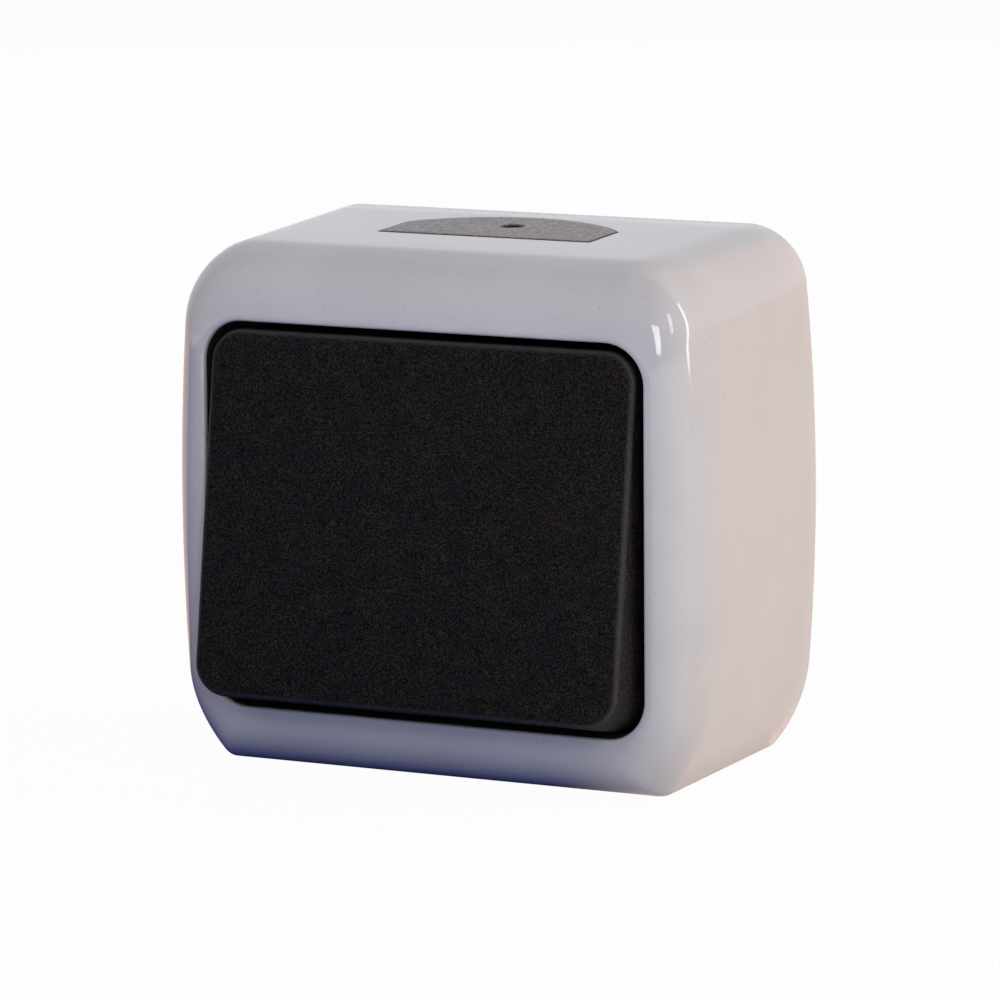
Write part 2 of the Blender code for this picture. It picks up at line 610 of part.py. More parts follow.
def build_strips(brass):
    """The two throw strips and the common strip, whose blade carries the contact bridge."""
    for name, line in strip_lines().items():
        shape = prism_y(bmesh.new(), strip_outline(line, STRIP_HALF_WIDTH), STRIP_FRONT_Y,
                        STRIP_BACK_Y)
        strip = add_object(name + "_strip", shape, brass)
        if name == "common":
            edge_y = BRIDGE_Y + GAP
            half = BLADE_THICKNESS / 2
            inside = STRIP_FRONT_Y + STRIP_THICKNESS / 2
            blade = [(edge_y, CENTRE_Z), (edge_y + half, CENTRE_Z + half),
                     (inside, CENTRE_Z + half), (inside, CENTRE_Z - half),
                     (edge_y + half, CENTRE_Z - half)]
            wedge = prism_x(bmesh.new(), blade, BLADE_SHOULDER - STRIP_HALF_WIDTH,
                            STRIP_HALF_WIDTH)
            cut_or_join(strip, "blade_tool", wedge, "UNION")


def build_fixed_contacts(silver):
    """Silver pads on the throw strips, bevelled at the rim."""
    back = FIXED_FACE_Y + FIXED_CONTACT_HEIGHT
    profile = [(FIXED_FACE_Y, FIXED_CONTACT_RADIUS - CONTACT_BEVEL),
               (FIXED_FACE_Y + CONTACT_BEVEL, FIXED_CONTACT_RADIUS),
               (back, FIXED_CONTACT_RADIUS)]
    for name, side in (("1", 1), ("2", -1)):
        centre = (0.0, CENTRE_Z + side * FIXED_CONTACT_Z)
        pad = add_object("fixed_contact_" + name, turned(bmesh.new(), profile, centre), silver)
        smooth(pad)


def build_terminals(plated):
    """A clamp cage and its screw round the end of each strip."""
    cage_back = STRIP_BACK_Y + GAP + CLAMP_WALL
    cage_front = STRIP_FRONT_Y - CLAMP_ROOM - CLAMP_WALL
    for name, (x, z) in terminal_points().items():
        low, high = z - CLAMP_LENGTH / 2, z + CLAMP_LENGTH / 2
        half = CLAMP_WIDTH / 2
        outer = [(x - half, cage_front), (x + half, cage_front),
                 (x + half, cage_back), (x - half, cage_back)]
        inner = [(x - half + CLAMP_WALL, cage_front + CLAMP_WALL),
                 (x + half - CLAMP_WALL, cage_front + CLAMP_WALL),
                 (x + half - CLAMP_WALL, cage_back - CLAMP_WALL),
                 (x - half + CLAMP_WALL, cage_back - CLAMP_WALL)]
        rings = [[(px, py, level) for px, py in points]
                 for points, level in ((outer, low), (outer, high), (inner, high), (inner, low))]
        cage = add_object(name + "_clamp", loft(bmesh.new(), rings, closed=True), plated)
        hole = prism_y(bmesh.new(), circle(CLAMP_SCREW_RADIUS + GAP, (x, z)), cage_front - GAP,
                       cage_front + CLAMP_WALL + GAP)
        cut_or_join(cage, name + "_clamp_hole_tool", hole)
        build_screw(name + "_clamp_screw", (x, z), cage_front,
                    cage_front + CLAMP_WALL + CLAMP_SCREW_REACH, CLAMP_SCREW_RADIUS,
                    CLAMP_HEAD_RADIUS, CLAMP_HEAD_HEIGHT, plated)


# Pieces that turn with the rocker, drawn about the rocker axis in its middle position

def build_rocker(plastic, axis):
    """The dark cap that is pressed, with two clips that hold it on the carrier."""
    half_width = OPENING_WIDTH / 2 - ROCKER_SIDE_GAP
    half_height = OPENING_HEIGHT / 2 - ROCKER_END_GAP
    radius = OPENING_RADIUS - ROCKER_SIDE_GAP

    def ring(inset, y):
        """The cap's outline drawn in by inset."""
        corner = max(radius - inset, ROCKER_LEAST_CORNER)
        return at_y(outline(half_width - inset, half_height - inset, -half_height + inset,
                            corner, corner), y)

    face = -AXIS_BEHIND_FACE
    rings = [ring(ROCKER_EDGE * (1 - math.cos(a)), face + ROCKER_EDGE * (1 - math.sin(a)))
             for a in np.linspace(math.pi / 2, 0.0, EDGE_STEPS - 1)]
    rings += [ring(0.0, face + ROCKER_SKIRT), ring(ROCKER_WALL, face + ROCKER_SKIRT),
              ring(ROCKER_WALL, face + ROCKER_WALL)]
    rocker = add_object("rocker", loft(bmesh.new(), rings), plastic, axis)

    clips = bmesh.new()
    inner_face = face + ROCKER_WALL
    under_plate = inner_face + GAP + CARRIER_PLATE + GAP
    hook_end = inner_face + CLIP_REACH
    wall_z = CARRIER_HEIGHT / 2 + GAP
    for side in (-1, 1):
        profile = [(inner_face - ROCKER_WALL / 2, side * (wall_z + CLIP_WALL)),
                   (hook_end, side * (wall_z + CLIP_WALL)),
                   (hook_end, side * (wall_z - CLIP_HOOK / 2)),
                   (under_plate, side * (wall_z - CLIP_HOOK)),
                   (under_plate, side * wall_z),
                   (inner_face - ROCKER_WALL / 2, side * wall_z)]
        prism_x(clips, profile, -CLIP_WIDTH / 2, CLIP_WIDTH / 2)
    cut_or_join(rocker, "clip_tool", clips, "UNION")
    smooth(rocker)


def build_carrier(plastic, axis):
    """The cradle with trunnions that turns in the ears and holds the plunger's bore."""
    front = -AXIS_BEHIND_FACE + ROCKER_WALL + GAP
    plate_back = front + CARRIER_PLATE
    half = CARRIER_WIDTH / 2
    tall, low = CARRIER_HEIGHT / 2, HUB_HEIGHT / 2
    profile = [(front, -tall), (plate_back, -tall), (plate_back, -low), (HUB_BEHIND_AXIS, -low),
               (HUB_BEHIND_AXIS, low), (plate_back, low), (plate_back, tall), (front, tall)]
    carrier = add_object("rocker_carrier", prism_x(bmesh.new(), profile, -half, half), plastic,
                         axis)
    reach = half + EAR_CLEARANCE + EAR_THICKNESS
    pins = bmesh.new()
    prism_x(pins, circle(TRUNNION_RADIUS), -reach, reach)
    cut_or_join(carrier, "trunnion_tool", pins, "UNION")
    tube = prism_y(bmesh.new(), circle(TUBE_RADIUS), 0.0, TUBE_REACH)
    cut_or_join(carrier, "tube_tool", tube, "UNION")
    bore = prism_y(bmesh.new(), circle(BORE_RADIUS), -BORE_FRONT, TUBE_REACH + GAP)
    cut_or_join(carrier, "bore_tool", bore)
    smooth(carrier)


def plunger_tip():
    """Distance from the rocker axis to the plunger's tip at rest, just clear of the bridge."""
    away = BRIDGE_BEHIND_AXIS * math.cos(BRIDGE_TILT) - BRIDGE_THICKNESS - PLUNGER_RADIUS
    centre = away / math.cos(ROCKER_TILT + BRIDGE_TILT)
    return centre + PLUNGER_RADIUS - PLUNGER_LIFT


def build_plunger(plastic, axis):
    """The sprung pin with a round tip that pushes the contact bridge over."""
    tip = plunger_tip()
    tail = -BORE_FRONT + GAP + SPRING_LENGTH + GAP
    profile = [(tail, PLUNGER_RADIUS)]
    for a in np.linspace(0.0, math.pi / 2, EDGE_STEPS + 1)[:-1]:
        profile.append((tip - PLUNGER_RADIUS * (1 - math.sin(a)), PLUNGER_RADIUS * math.cos(a)))
    profile.append((tip, PLUNGER_TIP_FLAT))
    pin = add_object("plunger", turned(bmesh.new(), profile, (0.0, 0.0)), plastic, axis)
    smooth(pin)


def build_spring(steel, axis):
    """The coil spring behind the plunger: a round wire carried along a helix."""
    coil = PLUNGER_RADIUS - SPRING_WIRE
    start = -BORE_FRONT + GAP + SPRING_WIRE
    rise = SPRING_LENGTH - 2 * SPRING_WIRE
    rings = []
    for share in np.linspace(0.0, 1.0, int(SPRING_TURNS * SPRING_TURN_STEPS) + 1):
        a = 2 * math.pi * SPRING_TURNS * share
        outward = np.array([math.cos(a), 0.0, math.sin(a)])
        centre = outward * coil + np.array([0.0, start + rise * share, 0.0])
        along = np.array([-math.sin(a), rise / (2 * math.pi * SPRING_TURNS * coil), math.cos(a)])
        along /= np.linalg.norm(along)
        across = np.cross(along, outward)
        rings.append([centre + SPRING_WIRE * (outward * math.cos(b) + across * math.sin(b))
                      for b in np.linspace(0.0, 2 * math.pi, SPRING_WIRE_STEPS,
                                           endpoint=False)])
    spring = add_object("plunger_spring", loft(bmesh.new(), rings), steel, axis)
    smooth(spring, 60.0)


# Pieces that turn with the contact bridge, drawn about its pivot in its middle position

def build_bridge(copper, silver, axis):
    """The rocking contact bridge and the two contacts riveted behind its ends."""
    end = [(BRIDGE_HALF_WIDTH * math.cos(a), CONTACT_SPACING + BRIDGE_HALF_WIDTH * math.sin(a))
           for a in np.linspace(0.0, math.pi, CORNER_STEPS + 1)]
    upper = [(BRIDGE_WAIST, BRIDGE_WAIST_END), *end, (-BRIDGE_WAIST, BRIDGE_WAIST_END)]
    lower = [(-x, -z) for x, z in upper]
    shape = prism_y(bmesh.new(), upper + lower, -BRIDGE_THICKNESS, 0.0)
    bridge = add_object("contact_bridge", shape, copper, axis)
    smooth(bridge)
    face = GAP + MOVING_CONTACT_HEIGHT
    profile = [(GAP, MOVING_CONTACT_RADIUS), (face - CONTACT_BEVEL, MOVING_CONTACT_RADIUS),
               (face, MOVING_CONTACT_RADIUS - CONTACT_BEVEL)]
    for name, side in (("1", 1), ("2", -1)):
        centre = (0.0, side * CONTACT_SPACING)
        tip = add_object("moving_contact_" + name, turned(bmesh.new(), profile, centre), silver,
                         axis)
        smooth(tip)


def build():
    """Makes the whole switch, with the rocker's upper end pressed in."""
    clear_scene()
    grey_gloss = make_material("grey_gloss_plastic", (0.50, 0.50, 0.53), 0.22)
    grey_matte = make_material("grey_matte_plastic", (0.42, 0.42, 0.44), 0.5)
    soft_grey = make_material("soft_grey_elastomer", (0.25, 0.24, 0.26), 0.75)
    dark = make_material("dark_rocker_plastic", (0.010, 0.010, 0.012), 0.5)
    white = make_material("white_mechanism_plastic", (0.75, 0.74, 0.70), 0.45)
    thermoset = make_material("cream_thermoset", (0.62, 0.60, 0.53), 0.5)
    brass = make_material("brass_strip", (0.72, 0.52, 0.22), 0.3, 1.0)
    copper = make_material("copper_bridge", (0.80, 0.42, 0.26), 0.3, 1.0)
    silver = make_material("silver_contact", (0.86, 0.86, 0.84), 0.25, 1.0)
    zinc = make_material("zinc_plated_steel", (0.62, 0.63, 0.65), 0.35, 1.0)
    spring_steel = make_material("spring_steel", (0.48, 0.48, 0.50), 0.3, 1.0)

    build_cover(grey_gloss)
    build_cable_entry(soft_grey)
    build_base(grey_matte)
    mechanism, cover = screw_points()
    for name, centre in mechanism.items():
        build_screw("mechanism_screw_" + name, centre, MECHANISM_SEAT_Y,
                    SOCKET_BACK_Y + MECHANISM_SCREW_BITE, SCREW_RADIUS, SCREW_HEAD_RADIUS,
                    SCREW_HEAD_HEIGHT, zinc)
    for name, centre in cover.items():
        build_screw("cover_screw_" + name, centre, TAB_FRONT_Y, TAB_BACK_Y + COVER_SCREW_BITE,
                    SCREW_RADIUS, SCREW_HEAD_RADIUS, SCREW_HEAD_HEIGHT, zinc)

    build_socket(thermoset)
    build_bearing_plate(white)
    build_strips(brass)
    build_fixed_contacts(silver)
    build_terminals(zinc)

    rocker_axis = add_empty("rocker_axis", (0.0, AXIS_Y, CENTRE_Z), -ROCKER_TILT)
    build_rocker(dark, rocker_axis)
    build_carrier(white, rocker_axis)
    build_plunger(white, rocker_axis)
    build_spring(spring_steel, rocker_axis)
    bridge_axis = add_empty("bridge_axis", (0.0, BRIDGE_Y, CENTRE_Z), BRIDGE_TILT)
    build_bridge(copper, silver, bridge_axis)


build()
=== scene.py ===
"""Looks of the surface mounted light switch: fine surfaces, finishes, studio light and camera.

Lengths are in metres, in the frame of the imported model: the wall is at Y = 0, the front faces -Y,
X points to the viewer's right and Z points up.
"""
import json
import math

import bmesh
import bpy
import numpy as np
from mathutils import Matrix, Vector

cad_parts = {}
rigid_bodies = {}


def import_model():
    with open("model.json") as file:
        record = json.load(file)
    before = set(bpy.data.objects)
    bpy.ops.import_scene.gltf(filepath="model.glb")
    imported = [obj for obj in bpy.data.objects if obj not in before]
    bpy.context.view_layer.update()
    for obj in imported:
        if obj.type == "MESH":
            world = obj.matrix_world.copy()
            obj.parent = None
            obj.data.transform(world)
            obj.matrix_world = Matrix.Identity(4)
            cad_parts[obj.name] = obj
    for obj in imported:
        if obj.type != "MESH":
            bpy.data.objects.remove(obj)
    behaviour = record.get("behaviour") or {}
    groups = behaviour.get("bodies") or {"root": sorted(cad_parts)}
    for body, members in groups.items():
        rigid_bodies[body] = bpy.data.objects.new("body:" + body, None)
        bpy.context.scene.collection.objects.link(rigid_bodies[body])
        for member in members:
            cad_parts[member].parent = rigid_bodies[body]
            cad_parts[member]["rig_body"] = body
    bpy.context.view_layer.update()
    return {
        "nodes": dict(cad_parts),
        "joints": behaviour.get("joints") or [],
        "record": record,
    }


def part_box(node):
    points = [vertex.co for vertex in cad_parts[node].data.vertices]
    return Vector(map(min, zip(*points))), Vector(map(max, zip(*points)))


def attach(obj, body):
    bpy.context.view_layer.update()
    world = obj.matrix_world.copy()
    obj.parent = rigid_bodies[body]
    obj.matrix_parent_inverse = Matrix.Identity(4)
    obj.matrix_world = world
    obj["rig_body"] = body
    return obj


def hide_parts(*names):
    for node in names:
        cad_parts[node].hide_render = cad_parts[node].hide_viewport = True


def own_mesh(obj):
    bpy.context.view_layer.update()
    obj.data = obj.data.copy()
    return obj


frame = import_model()

MM = 0.001
GAP = 0.3 * MM  # clearance between neighbouring pieces


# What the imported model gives

def extent(node):
    """A node's lowest and highest corner as arrays."""
    low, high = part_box(node)
    return np.array(low), np.array(high)


def axis_of(node):
    """X, Z of the line along Y through a node's middle."""
    low, high = extent(node)
    return (low[0] + high[0]) / 2, (low[2] + high[2]) / 2


JOINTS = {joint["name"]: joint for joint in frame["joints"]}
COVER_LOW, COVER_HIGH = extent("cover")
ENTRY_LOW, ENTRY_HIGH = extent("cable_entry_membrane")
DEPTH = -COVER_LOW[1]  # wall to the flat of the front frame
MIDDLE = Vector((0.0, -DEPTH / 2, 0.0))  # of the housing
SETBACK = -COVER_HIGH[1]  # the cover's rim stays this far off the wall
BOTTOM = COVER_LOW[2]
AXIS = np.array(JOINTS["rocker_tilt"]["pos_m"])
BRIDGE_AXIS = np.array(JOINTS["bridge_rock"]["pos_m"])
CENTRE_Z = AXIS[2]

# Housing, as the mould has it
HALF_WIDTH = 35.0 * MM
SIDE_DRAFT = 0.2 * MM
TOP_DRAFT = 1.1 * MM
SIDE_BOW = 2.0 * MM
TOP_RADIUS_FRONT = 8.2 * MM
TOP_RADIUS_BACK = 6.8 * MM
BOTTOM_RADIUS = 19.0 * MM
BOTTOM_DROP = 7.4 * MM  # the bottom arcs aim this far below the flat bottom
BOTTOM_EASE = 0.7 * MM  # small round where the bottom arcs meet the flat
EDGE_DEPTH = 7.6 * MM  # front rounding, back from the front
WALL = 2.2 * MM
FRONT_WALL = 2.8 * MM
INNER_BEVEL = 1.0 * MM
RIM_ROUND = 0.35 * MM

# Opening and rocker
OPENING_HALF_WIDTH = HALF_WIDTH - 6.0 * MM
OPENING_HALF_HEIGHT = 23.6 * MM
OPENING_RADIUS = 5.0 * MM
OPENING_EDGE = 0.4 * MM
COLLAR_DEPTH = 4.5 * MM
COLLAR_WALL = 1.0 * MM
COLLAR_MIDDLE = 2.5 * MM
COLLAR_SHADE = 0.8 * MM  # from this far behind the front the cover's inside is painted near-black as shade
SHADE_EDGE = 0.1 * MM  # the painted shade fades in over this, on either side
ROCKER_SIDE_GAP = 0.95 * MM
ROCKER_END_GAP = 1.4 * MM
ROCKER_HALF_WIDTH = OPENING_HALF_WIDTH - ROCKER_SIDE_GAP
ROCKER_HALF_HEIGHT = OPENING_HALF_HEIGHT - ROCKER_END_GAP
ROCKER_RADIUS = OPENING_RADIUS - ROCKER_SIDE_GAP
ROCKER_EDGE = 0.9 * MM
ROCKER_WALL = 1.8 * MM
ROCKER_SKIRT = 10.0 * MM
ROCKER_DRAFT = 0.85 * MM  # the skirt's open end is that much wider, above and below
ROCKER_FACE = 5.24 * MM  # rocker's face in front of its axis
ROCKER_LIP = 0.25 * MM  # bevel round the skirt's open end
ROCKER_TILT = -math.radians(JOINTS["rocker_tilt"]["range_deg"][1] / 2)
LEAST_CORNER = 1.3 * MM
FACE_INSETS = np.array([16.0, 12.0, 8.0, 4.0, 2.0]) * MM  # rings on the face

# The rocker's two clips
CLIP_HALF_WIDTH = 5.0 * MM
CLIP_SEAT = 9.0 * MM  # half height of the carrier's plate
CLIP_PLATE = 2.1 * MM  # thickness of that plate
CLIP_DEPTH = 3.6 * MM
CLIP_WALL = 1.6 * MM
CLIP_CATCH = 0.8 * MM  # how far the hook reaches over the plate
CLIP_TOE = 0.4 * MM  # the same at the hook's end

# Cable entry in the top wall
ENTRY_LIP = 1.2 * MM
ENTRY_LIP_THICKNESS = 1.3 * MM
ENTRY_HALF = ENTRY_HIGH[0] - ENTRY_LIP
ENTRY_FRONT = -ENTRY_LOW[1] - ENTRY_LIP
ENTRY_SIDE_END = 12.4 * MM
ENTRY_RISE = 7.3 * MM
ENTRY_PROUD = 0.12 * MM  # the insert stands this far above the wall
ENTRY_EDGE = 0.2 * MM
PILOT_DEPTH = 12.3 * MM  # pilot hole's distance from the wall
PILOT_RADIUS = 1.4 * MM

# Base plate
BASE_THICKNESS = 2.5 * MM
BASE_RIM = 8.0 * MM
BASE_RIM_WALL = 1.6 * MM
BASE_EDGE = 0.3 * MM
MECHANISM_POST = 3.7 * MM
COVER_POST = 3.3 * MM
SLOT_WIDTH = 4.6 * MM
SLOT_LENGTH = 7.6 * MM
WALL_SLOT = np.array([25.4, 18.5]) * MM  # X, Z of a slot's middle
SLOT_BEVEL = ((0.0, -0.5 * MM), (1.6 * MM, 0.3 * MM))  # growth of the slot, and where
MARK_RADIUS = 2.0 * MM
MARK_DEPTH = 0.12 * MM
EJECTOR_MARKS = np.array([(-22, -2), (22, 2), (-12, 22), (12, -23), (0, 4)]) * MM

# Screws
COVER_SCREWS = ("cover_screw_left", "cover_screw_right")
MECHANISM_SCREWS = ("mechanism_screw_top", "mechanism_screw_bottom")
SCREW_HEAD = 1.9 * MM
SCREW_HOLE = 1.8 * MM
SCREW_SHANK = 1.5 * MM
SCREW_PITCH = 1.0 * MM
CLAMP_SHANK = 1.3 * MM
CLAMP_PITCH = 0.5 * MM
THREAD_DEPTH = 0.3  # as a share of the pitch
PITCH_STEPS = 8
HEAD_CENTRE = 0.6 * MM  # radius of the head's middle face
HEAD_ROUND = 0.4 * MM
HEAD_BEVEL = 0.1 * MM
THREAD_START = 0.2 * MM
TIP_BEVEL = 0.3 * MM
TIP_CENTRE = 0.2 * MM  # radius of the tip's middle face
DRIVE_HALF_WIDTH = 0.4 * MM
DRIVE_DEPTH = 1.0 * MM
TAB_THICKNESS = 2.5 * MM

# Contacts, plunger and spring
CONTACT_CROWN = 0.12 * MM
CONTACT_EDGE = 0.3 * MM
CROWN_SHARE = 0.9  # the crown covers this share of the radius
CROWN_STEPS = np.linspace(0.05, 1.0, 10)
MOVING_RADIUS = 2.1 * MM
MOVING_HEIGHT = 1.4 * MM
MOVING_REACH = 8.5 * MM  # from the bridge's axis
BRIDGE_TILT = -math.radians(JOINTS["bridge_rock"]["range_deg"][0] / 2)
PLUNGER_RADIUS = 2.0 * MM
PLUNGER_EDGE = 0.3 * MM
PLUNGER_TAIL = 0.2 * MM  # radius of the tail's middle face
SPRING_START = -0.2 * MM  # spring's fixed end, from the rocker axis
SPRING_LENGTH = 4.2 * MM
SPRING_WIRE = 0.25 * MM  # radius of the wire
SPRING_TURNS = 4.5

TERMINALS = ("common", "throw_1", "throw_2")

# How far the edges of the solids that are kept in shape are rounded off
EDGE_ROUNDING = {"mechanism_socket": 0.25 * MM, "bearing_plate": 0.2 * MM,
                 "rocker_carrier": 0.2 * MM, "contact_bridge": 0.12 * MM,
                 **{terminal + "_strip": 0.12 * MM for terminal in TERMINALS},
                 **{terminal + "_clamp": 0.15 * MM for terminal in TERMINALS}}

# Fine steps of the curved surfaces
SMOOTH_ANGLE = 35.0  # degrees, up to which an edge is shaded smooth
SCREW_ANGLE = 40.0  # the same on the screws' threads
WIRE_ANGLE = 60.0  # and on the spring
FLAT_STEPS = 10
CORNER_STEPS = 22
SIDE_STEPS = 22
EASE_STEPS = 4
BEZEL_STEPS = 30
ROUND_STEPS = 8
CIRCLE_STEPS = 64
MARK_STEPS = 48
EDGE_STEPS = 3  # small rounded edges
RIM_STEPS = 5  # round the opening's rim
HEAD_STEPS = 4
TIP_STEPS = 16
WALL_STEPS = 8  # rings up the cover's side
INNER_STEPS = 6  # the same inside
TOP_STEPS = 9  # rings over the membrane's top
SKIRT_STEPS = 4
SCREW_STEPS = 40
SPRING_STEPS = 40  # for each turn
WIRE_STEPS = 14

# Patterns in the finishes; spacings, grains and depths are in millimetres
TONE_SPACING = 14.0  # slow change of a plastic's tone
WAVE_SPACING = 5.0  # slow waviness that a mould leaves
SPECK_EDGE = (0.70, 0.80)  # specks come up between these values of their noise
INNER_ROUGHNESS = 0.85
ROCKER_GRAIN = 0.22
ROCKER_GRAIN_DEPTH = 0.035
ROCKER_TINT = 2.6
EDGE_HIGHLIGHT = 0.25  # share of the paler colour painted on the edge as a highlight
ELASTOMER_GRAIN = 0.5
ELASTOMER_GRAIN_DEPTH = 0.04
METAL_TONE = 4.0
METAL_LINE_DEPTH = 0.004
ALONG_HEIGHT = (1.0, 1.0, 0.1)  # squeeze that draws noise out into lines
ALONG_DEPTH = (1.0, 0.2, 1.0)

# Studio. Tones are an sRGB colour and a brightness, where 1 is plain white.
WHITE = (1.0, 1.0, 1.0, 1.0)
FLOOR_WHITE = 0.97  # share of plain white that the eye sees on the floor
FLOOR_HALF = 1.5  # metres
FLOOR_DROP = 0.6 * MM  # floor below the switch
CARD_DROP = 0.2 * MM  # blue card below the switch
CARD_CORNER = (-0.5, -0.6)  # metres
CARD_FADE = (14.0 * MM, 36.0 * MM)  # the card thins out to the right between these
AMBIENT = ("6a94ff", 0.03)  # even bluish light from all round, for the matte shades
ROOM_LEFT = ("f4ffe3", 0.65)  # from here on, what the gloss mirrors
ROOM_RIGHT = ("ffffff", 0.02)
BACK_LEFT = ("f3f7ff", 0.98)
BACK_RIGHT = ("ffe7e8", 1.32)
FLOOR_FRONT = ("ffffe5", 1.27)
FLOOR_SIDE = ("ffe1d6", 1.12)
TONE_AZIMUTH = math.radians(102.0)  # line between warm and cool, as the front's right edge sees it
TONE_SLOPE = math.cos(TONE_AZIMUTH) / math.sin(TONE_AZIMUTH)
TONE_START = (33.9 * MM, -35.0 * MM)  # X, Y of that line's start on the floor
TONE_BLEND = 0.02  # half the softness of that line in the surround
FLOOR_BLEND = 2.0 * MM  # the same on the floor
SIDE_BLEND = 0.1  # the same between left and right
LAMP_DISTANCE = 0.9  # metres
# Name, azimuth and elevation in degrees, size in metres, radiance, colour, mirrored in the gloss
SOFT_BOXES = (
    ("front_box", 10.0, 9.0, (0.3, 0.25), 4.15, "cddfff", False),
    ("cool_right_box", 40.0, 9.0, (0.3, 0.25), 1.9, "c8d0ff", False),
    ("left_box", -90.0, 18.0, (0.5, 0.5), 0.8, "ffe8d4", False),
    ("back_left_box", -150.0, 18.0, (0.5, 0.5), 2.5, "ffffff", False),
    ("warm_side_box", 120.0, 18.0, (0.5, 0.5), 4.95, "fff5e3", False),
    ("upper_left_box", -35.0, 40.0, (0.4, 0.4), 2.58, "ffeee4", False),
    ("upper_box", 0.0, 40.0, (0.4, 0.4), 2.93, "fff8f8", False),
    ("tall_box", 32.0, 22.0, (0.2, 0.38), 9.0, "ffffff", True),
    ("narrow_box", 70.0, 34.0, (0.1, 0.3), 6.0, "ffffff", True),
    ("edge_box", 107.0, 20.0, (0.07, 0.84), 9.0, "fff0e4", True),
)

# Camera, as the photograph was taken
VIEW_AZIMUTH = math.radians(25.899)
VIEW_ELEVATION = math.radians(9.781)
VIEW_ROLL = math.radians(-0.475)
VIEW_DISTANCE = 713.6 * MM
VIEW_LENS = 211.04  # millimetres
VIEW_SENSOR = 36.0  # millimetres
VIEW_AIM = (1.18 * MM, -0.05 * MM)  # aim, right of and above the middle of the housing
VIEW_CLIP = (0.01, 10.0)  # metres


def outline(half_width, top, bottom, top_radius, bottom_radius, drop=0.0, bow=0.0, ease=0.0):
    """A ring of X, Z points, flat at the top and bottom, with arcs at the corners.

    The bottom arcs aim drop below the flat, so each meets it at an angle, which is eased by a
    parabola. Each X is then scaled by 1 + bow * (1 - h * h) / side, where h runs from -1 at the
    bottom to 1 at the top, so that the sides bulge. All rings have their points in step.
    """
    side = half_width - bow
    arc_z = bottom - drop + bottom_radius
    cut = math.asin(min((arc_z - bottom) / bottom_radius, 1.0))
    turn = np.linspace(0.0, math.pi / 2, CORNER_STEPS + 1)
    flat_top = np.linspace(0.0, side - top_radius, FLAT_STEPS, endpoint=False)
    straight = np.linspace(top - top_radius, arc_z, SIDE_STEPS + 1)[1:-1]
    low = np.linspace(0.0, cut - ease / bottom_radius, CORNER_STEPS + 1)
    corner_x = side - bottom_radius * (1 - math.cos(cut))
    flat_bottom = np.linspace(corner_x - ease, 0.0, FLAT_STEPS)
    start = np.array([side - bottom_radius * (1 - math.cos(low[-1])),
                      arc_z - bottom_radius * math.sin(low[-1])])
    share = np.linspace(0.0, 1.0, EASE_STEPS + 1)[1:-1, None]
    eased = ((1 - share) ** 2 * start + 2 * share * (1 - share) * np.array([corner_x, bottom])
             + share ** 2 * np.array([corner_x - ease, bottom]))
    x = np.concatenate([flat_top, side - top_radius * (1 - np.sin(turn)),
                        np.full(len(straight), side), side - bottom_radius * (1 - np.cos(low)),
                        eased[:, 0], flat_bottom])
    z = np.concatenate([np.full(FLAT_STEPS, top), top - top_radius * (1 - np.cos(turn)),
                        straight, arc_z - bottom_radius * np.sin(low),
                        eased[:, 1], np.full(FLAT_STEPS, bottom)])
    height = (z - (top + bottom) / 2) / ((top - bottom) / 2)
    x = x * (1 + bow * (1 - height ** 2) / side)
    ring = np.stack([x, z], axis=-1)
    return np.vstack([ring, ring[-2:0:-1] * (-1, 1)])


def top_height(depth):
    """Height of the housing's top face at a distance from the wall."""
    return -BOTTOM + TOP_DRAFT * (1 - depth / DEPTH)


def housing_ring(depth, inset):
    """The housing's outline at a distance from the wall, drawn in by inset."""
    share = depth / DEPTH
    radius = TOP_RADIUS_BACK + (TOP_RADIUS_FRONT - TOP_RADIUS_BACK) * share
    return outline(HALF_WIDTH + SIDE_DRAFT * (1 - share) - inset, top_height(depth) - inset,
                   BOTTOM + inset, radius - inset, BOTTOM_RADIUS - inset, BOTTOM_DROP,
                   SIDE_BOW, BOTTOM_EASE)


def opening_ring(grow):
    """The rocker opening's outline, grown all round."""
    radius = OPENING_RADIUS + grow
    return outline(OPENING_HALF_WIDTH + grow, CENTRE_Z + OPENING_HALF_HEIGHT + grow,
                   CENTRE_Z - OPENING_HALF_HEIGHT - grow, radius, radius, ease=BOTTOM_EASE)


def at_y(ring, y):
    """X, Z points placed at one Y, or at a Y each."""
    return np.stack([ring[:, 0], np.broadcast_to(y, len(ring)), ring[:, 1]], axis=-1)


# Meshes

def surface(name, grid, closed=False, angle=SMOOTH_ANGLE):
    """A skin over a grid of points, whose rows are rings joined by quads. When it is closed, the
    last ring joins the first. Otherwise those two each get one flat face."""
    rows, columns = grid.shape[:2]
    index = np.arange(rows * columns).reshape(rows, columns)
    beside = np.roll(index, -1, axis=1)
    if closed:
        quads = np.stack([index, beside, np.roll(beside, -1, axis=0), np.roll(index, -1, axis=0)],
                         axis=-1)
    else:
        quads = np.stack([index[:-1], beside[:-1], beside[1:], index[1:]], axis=-1)
    faces = quads.reshape(-1, 4).tolist()
    if not closed:
        faces += [index[0].tolist(), index[-1].tolist()]
    mesh = bpy.data.meshes.new(name)
    mesh.from_pydata(grid.reshape(-1, 3).tolist(), [], faces)
    return finish_mesh(name, mesh, angle)


def new_object(name, data):
    """An object of the scene that holds a mesh, a light or a camera."""
    made = bpy.data.objects.new(name, data)
    bpy.context.scene.collection.objects.link(made)
    return made


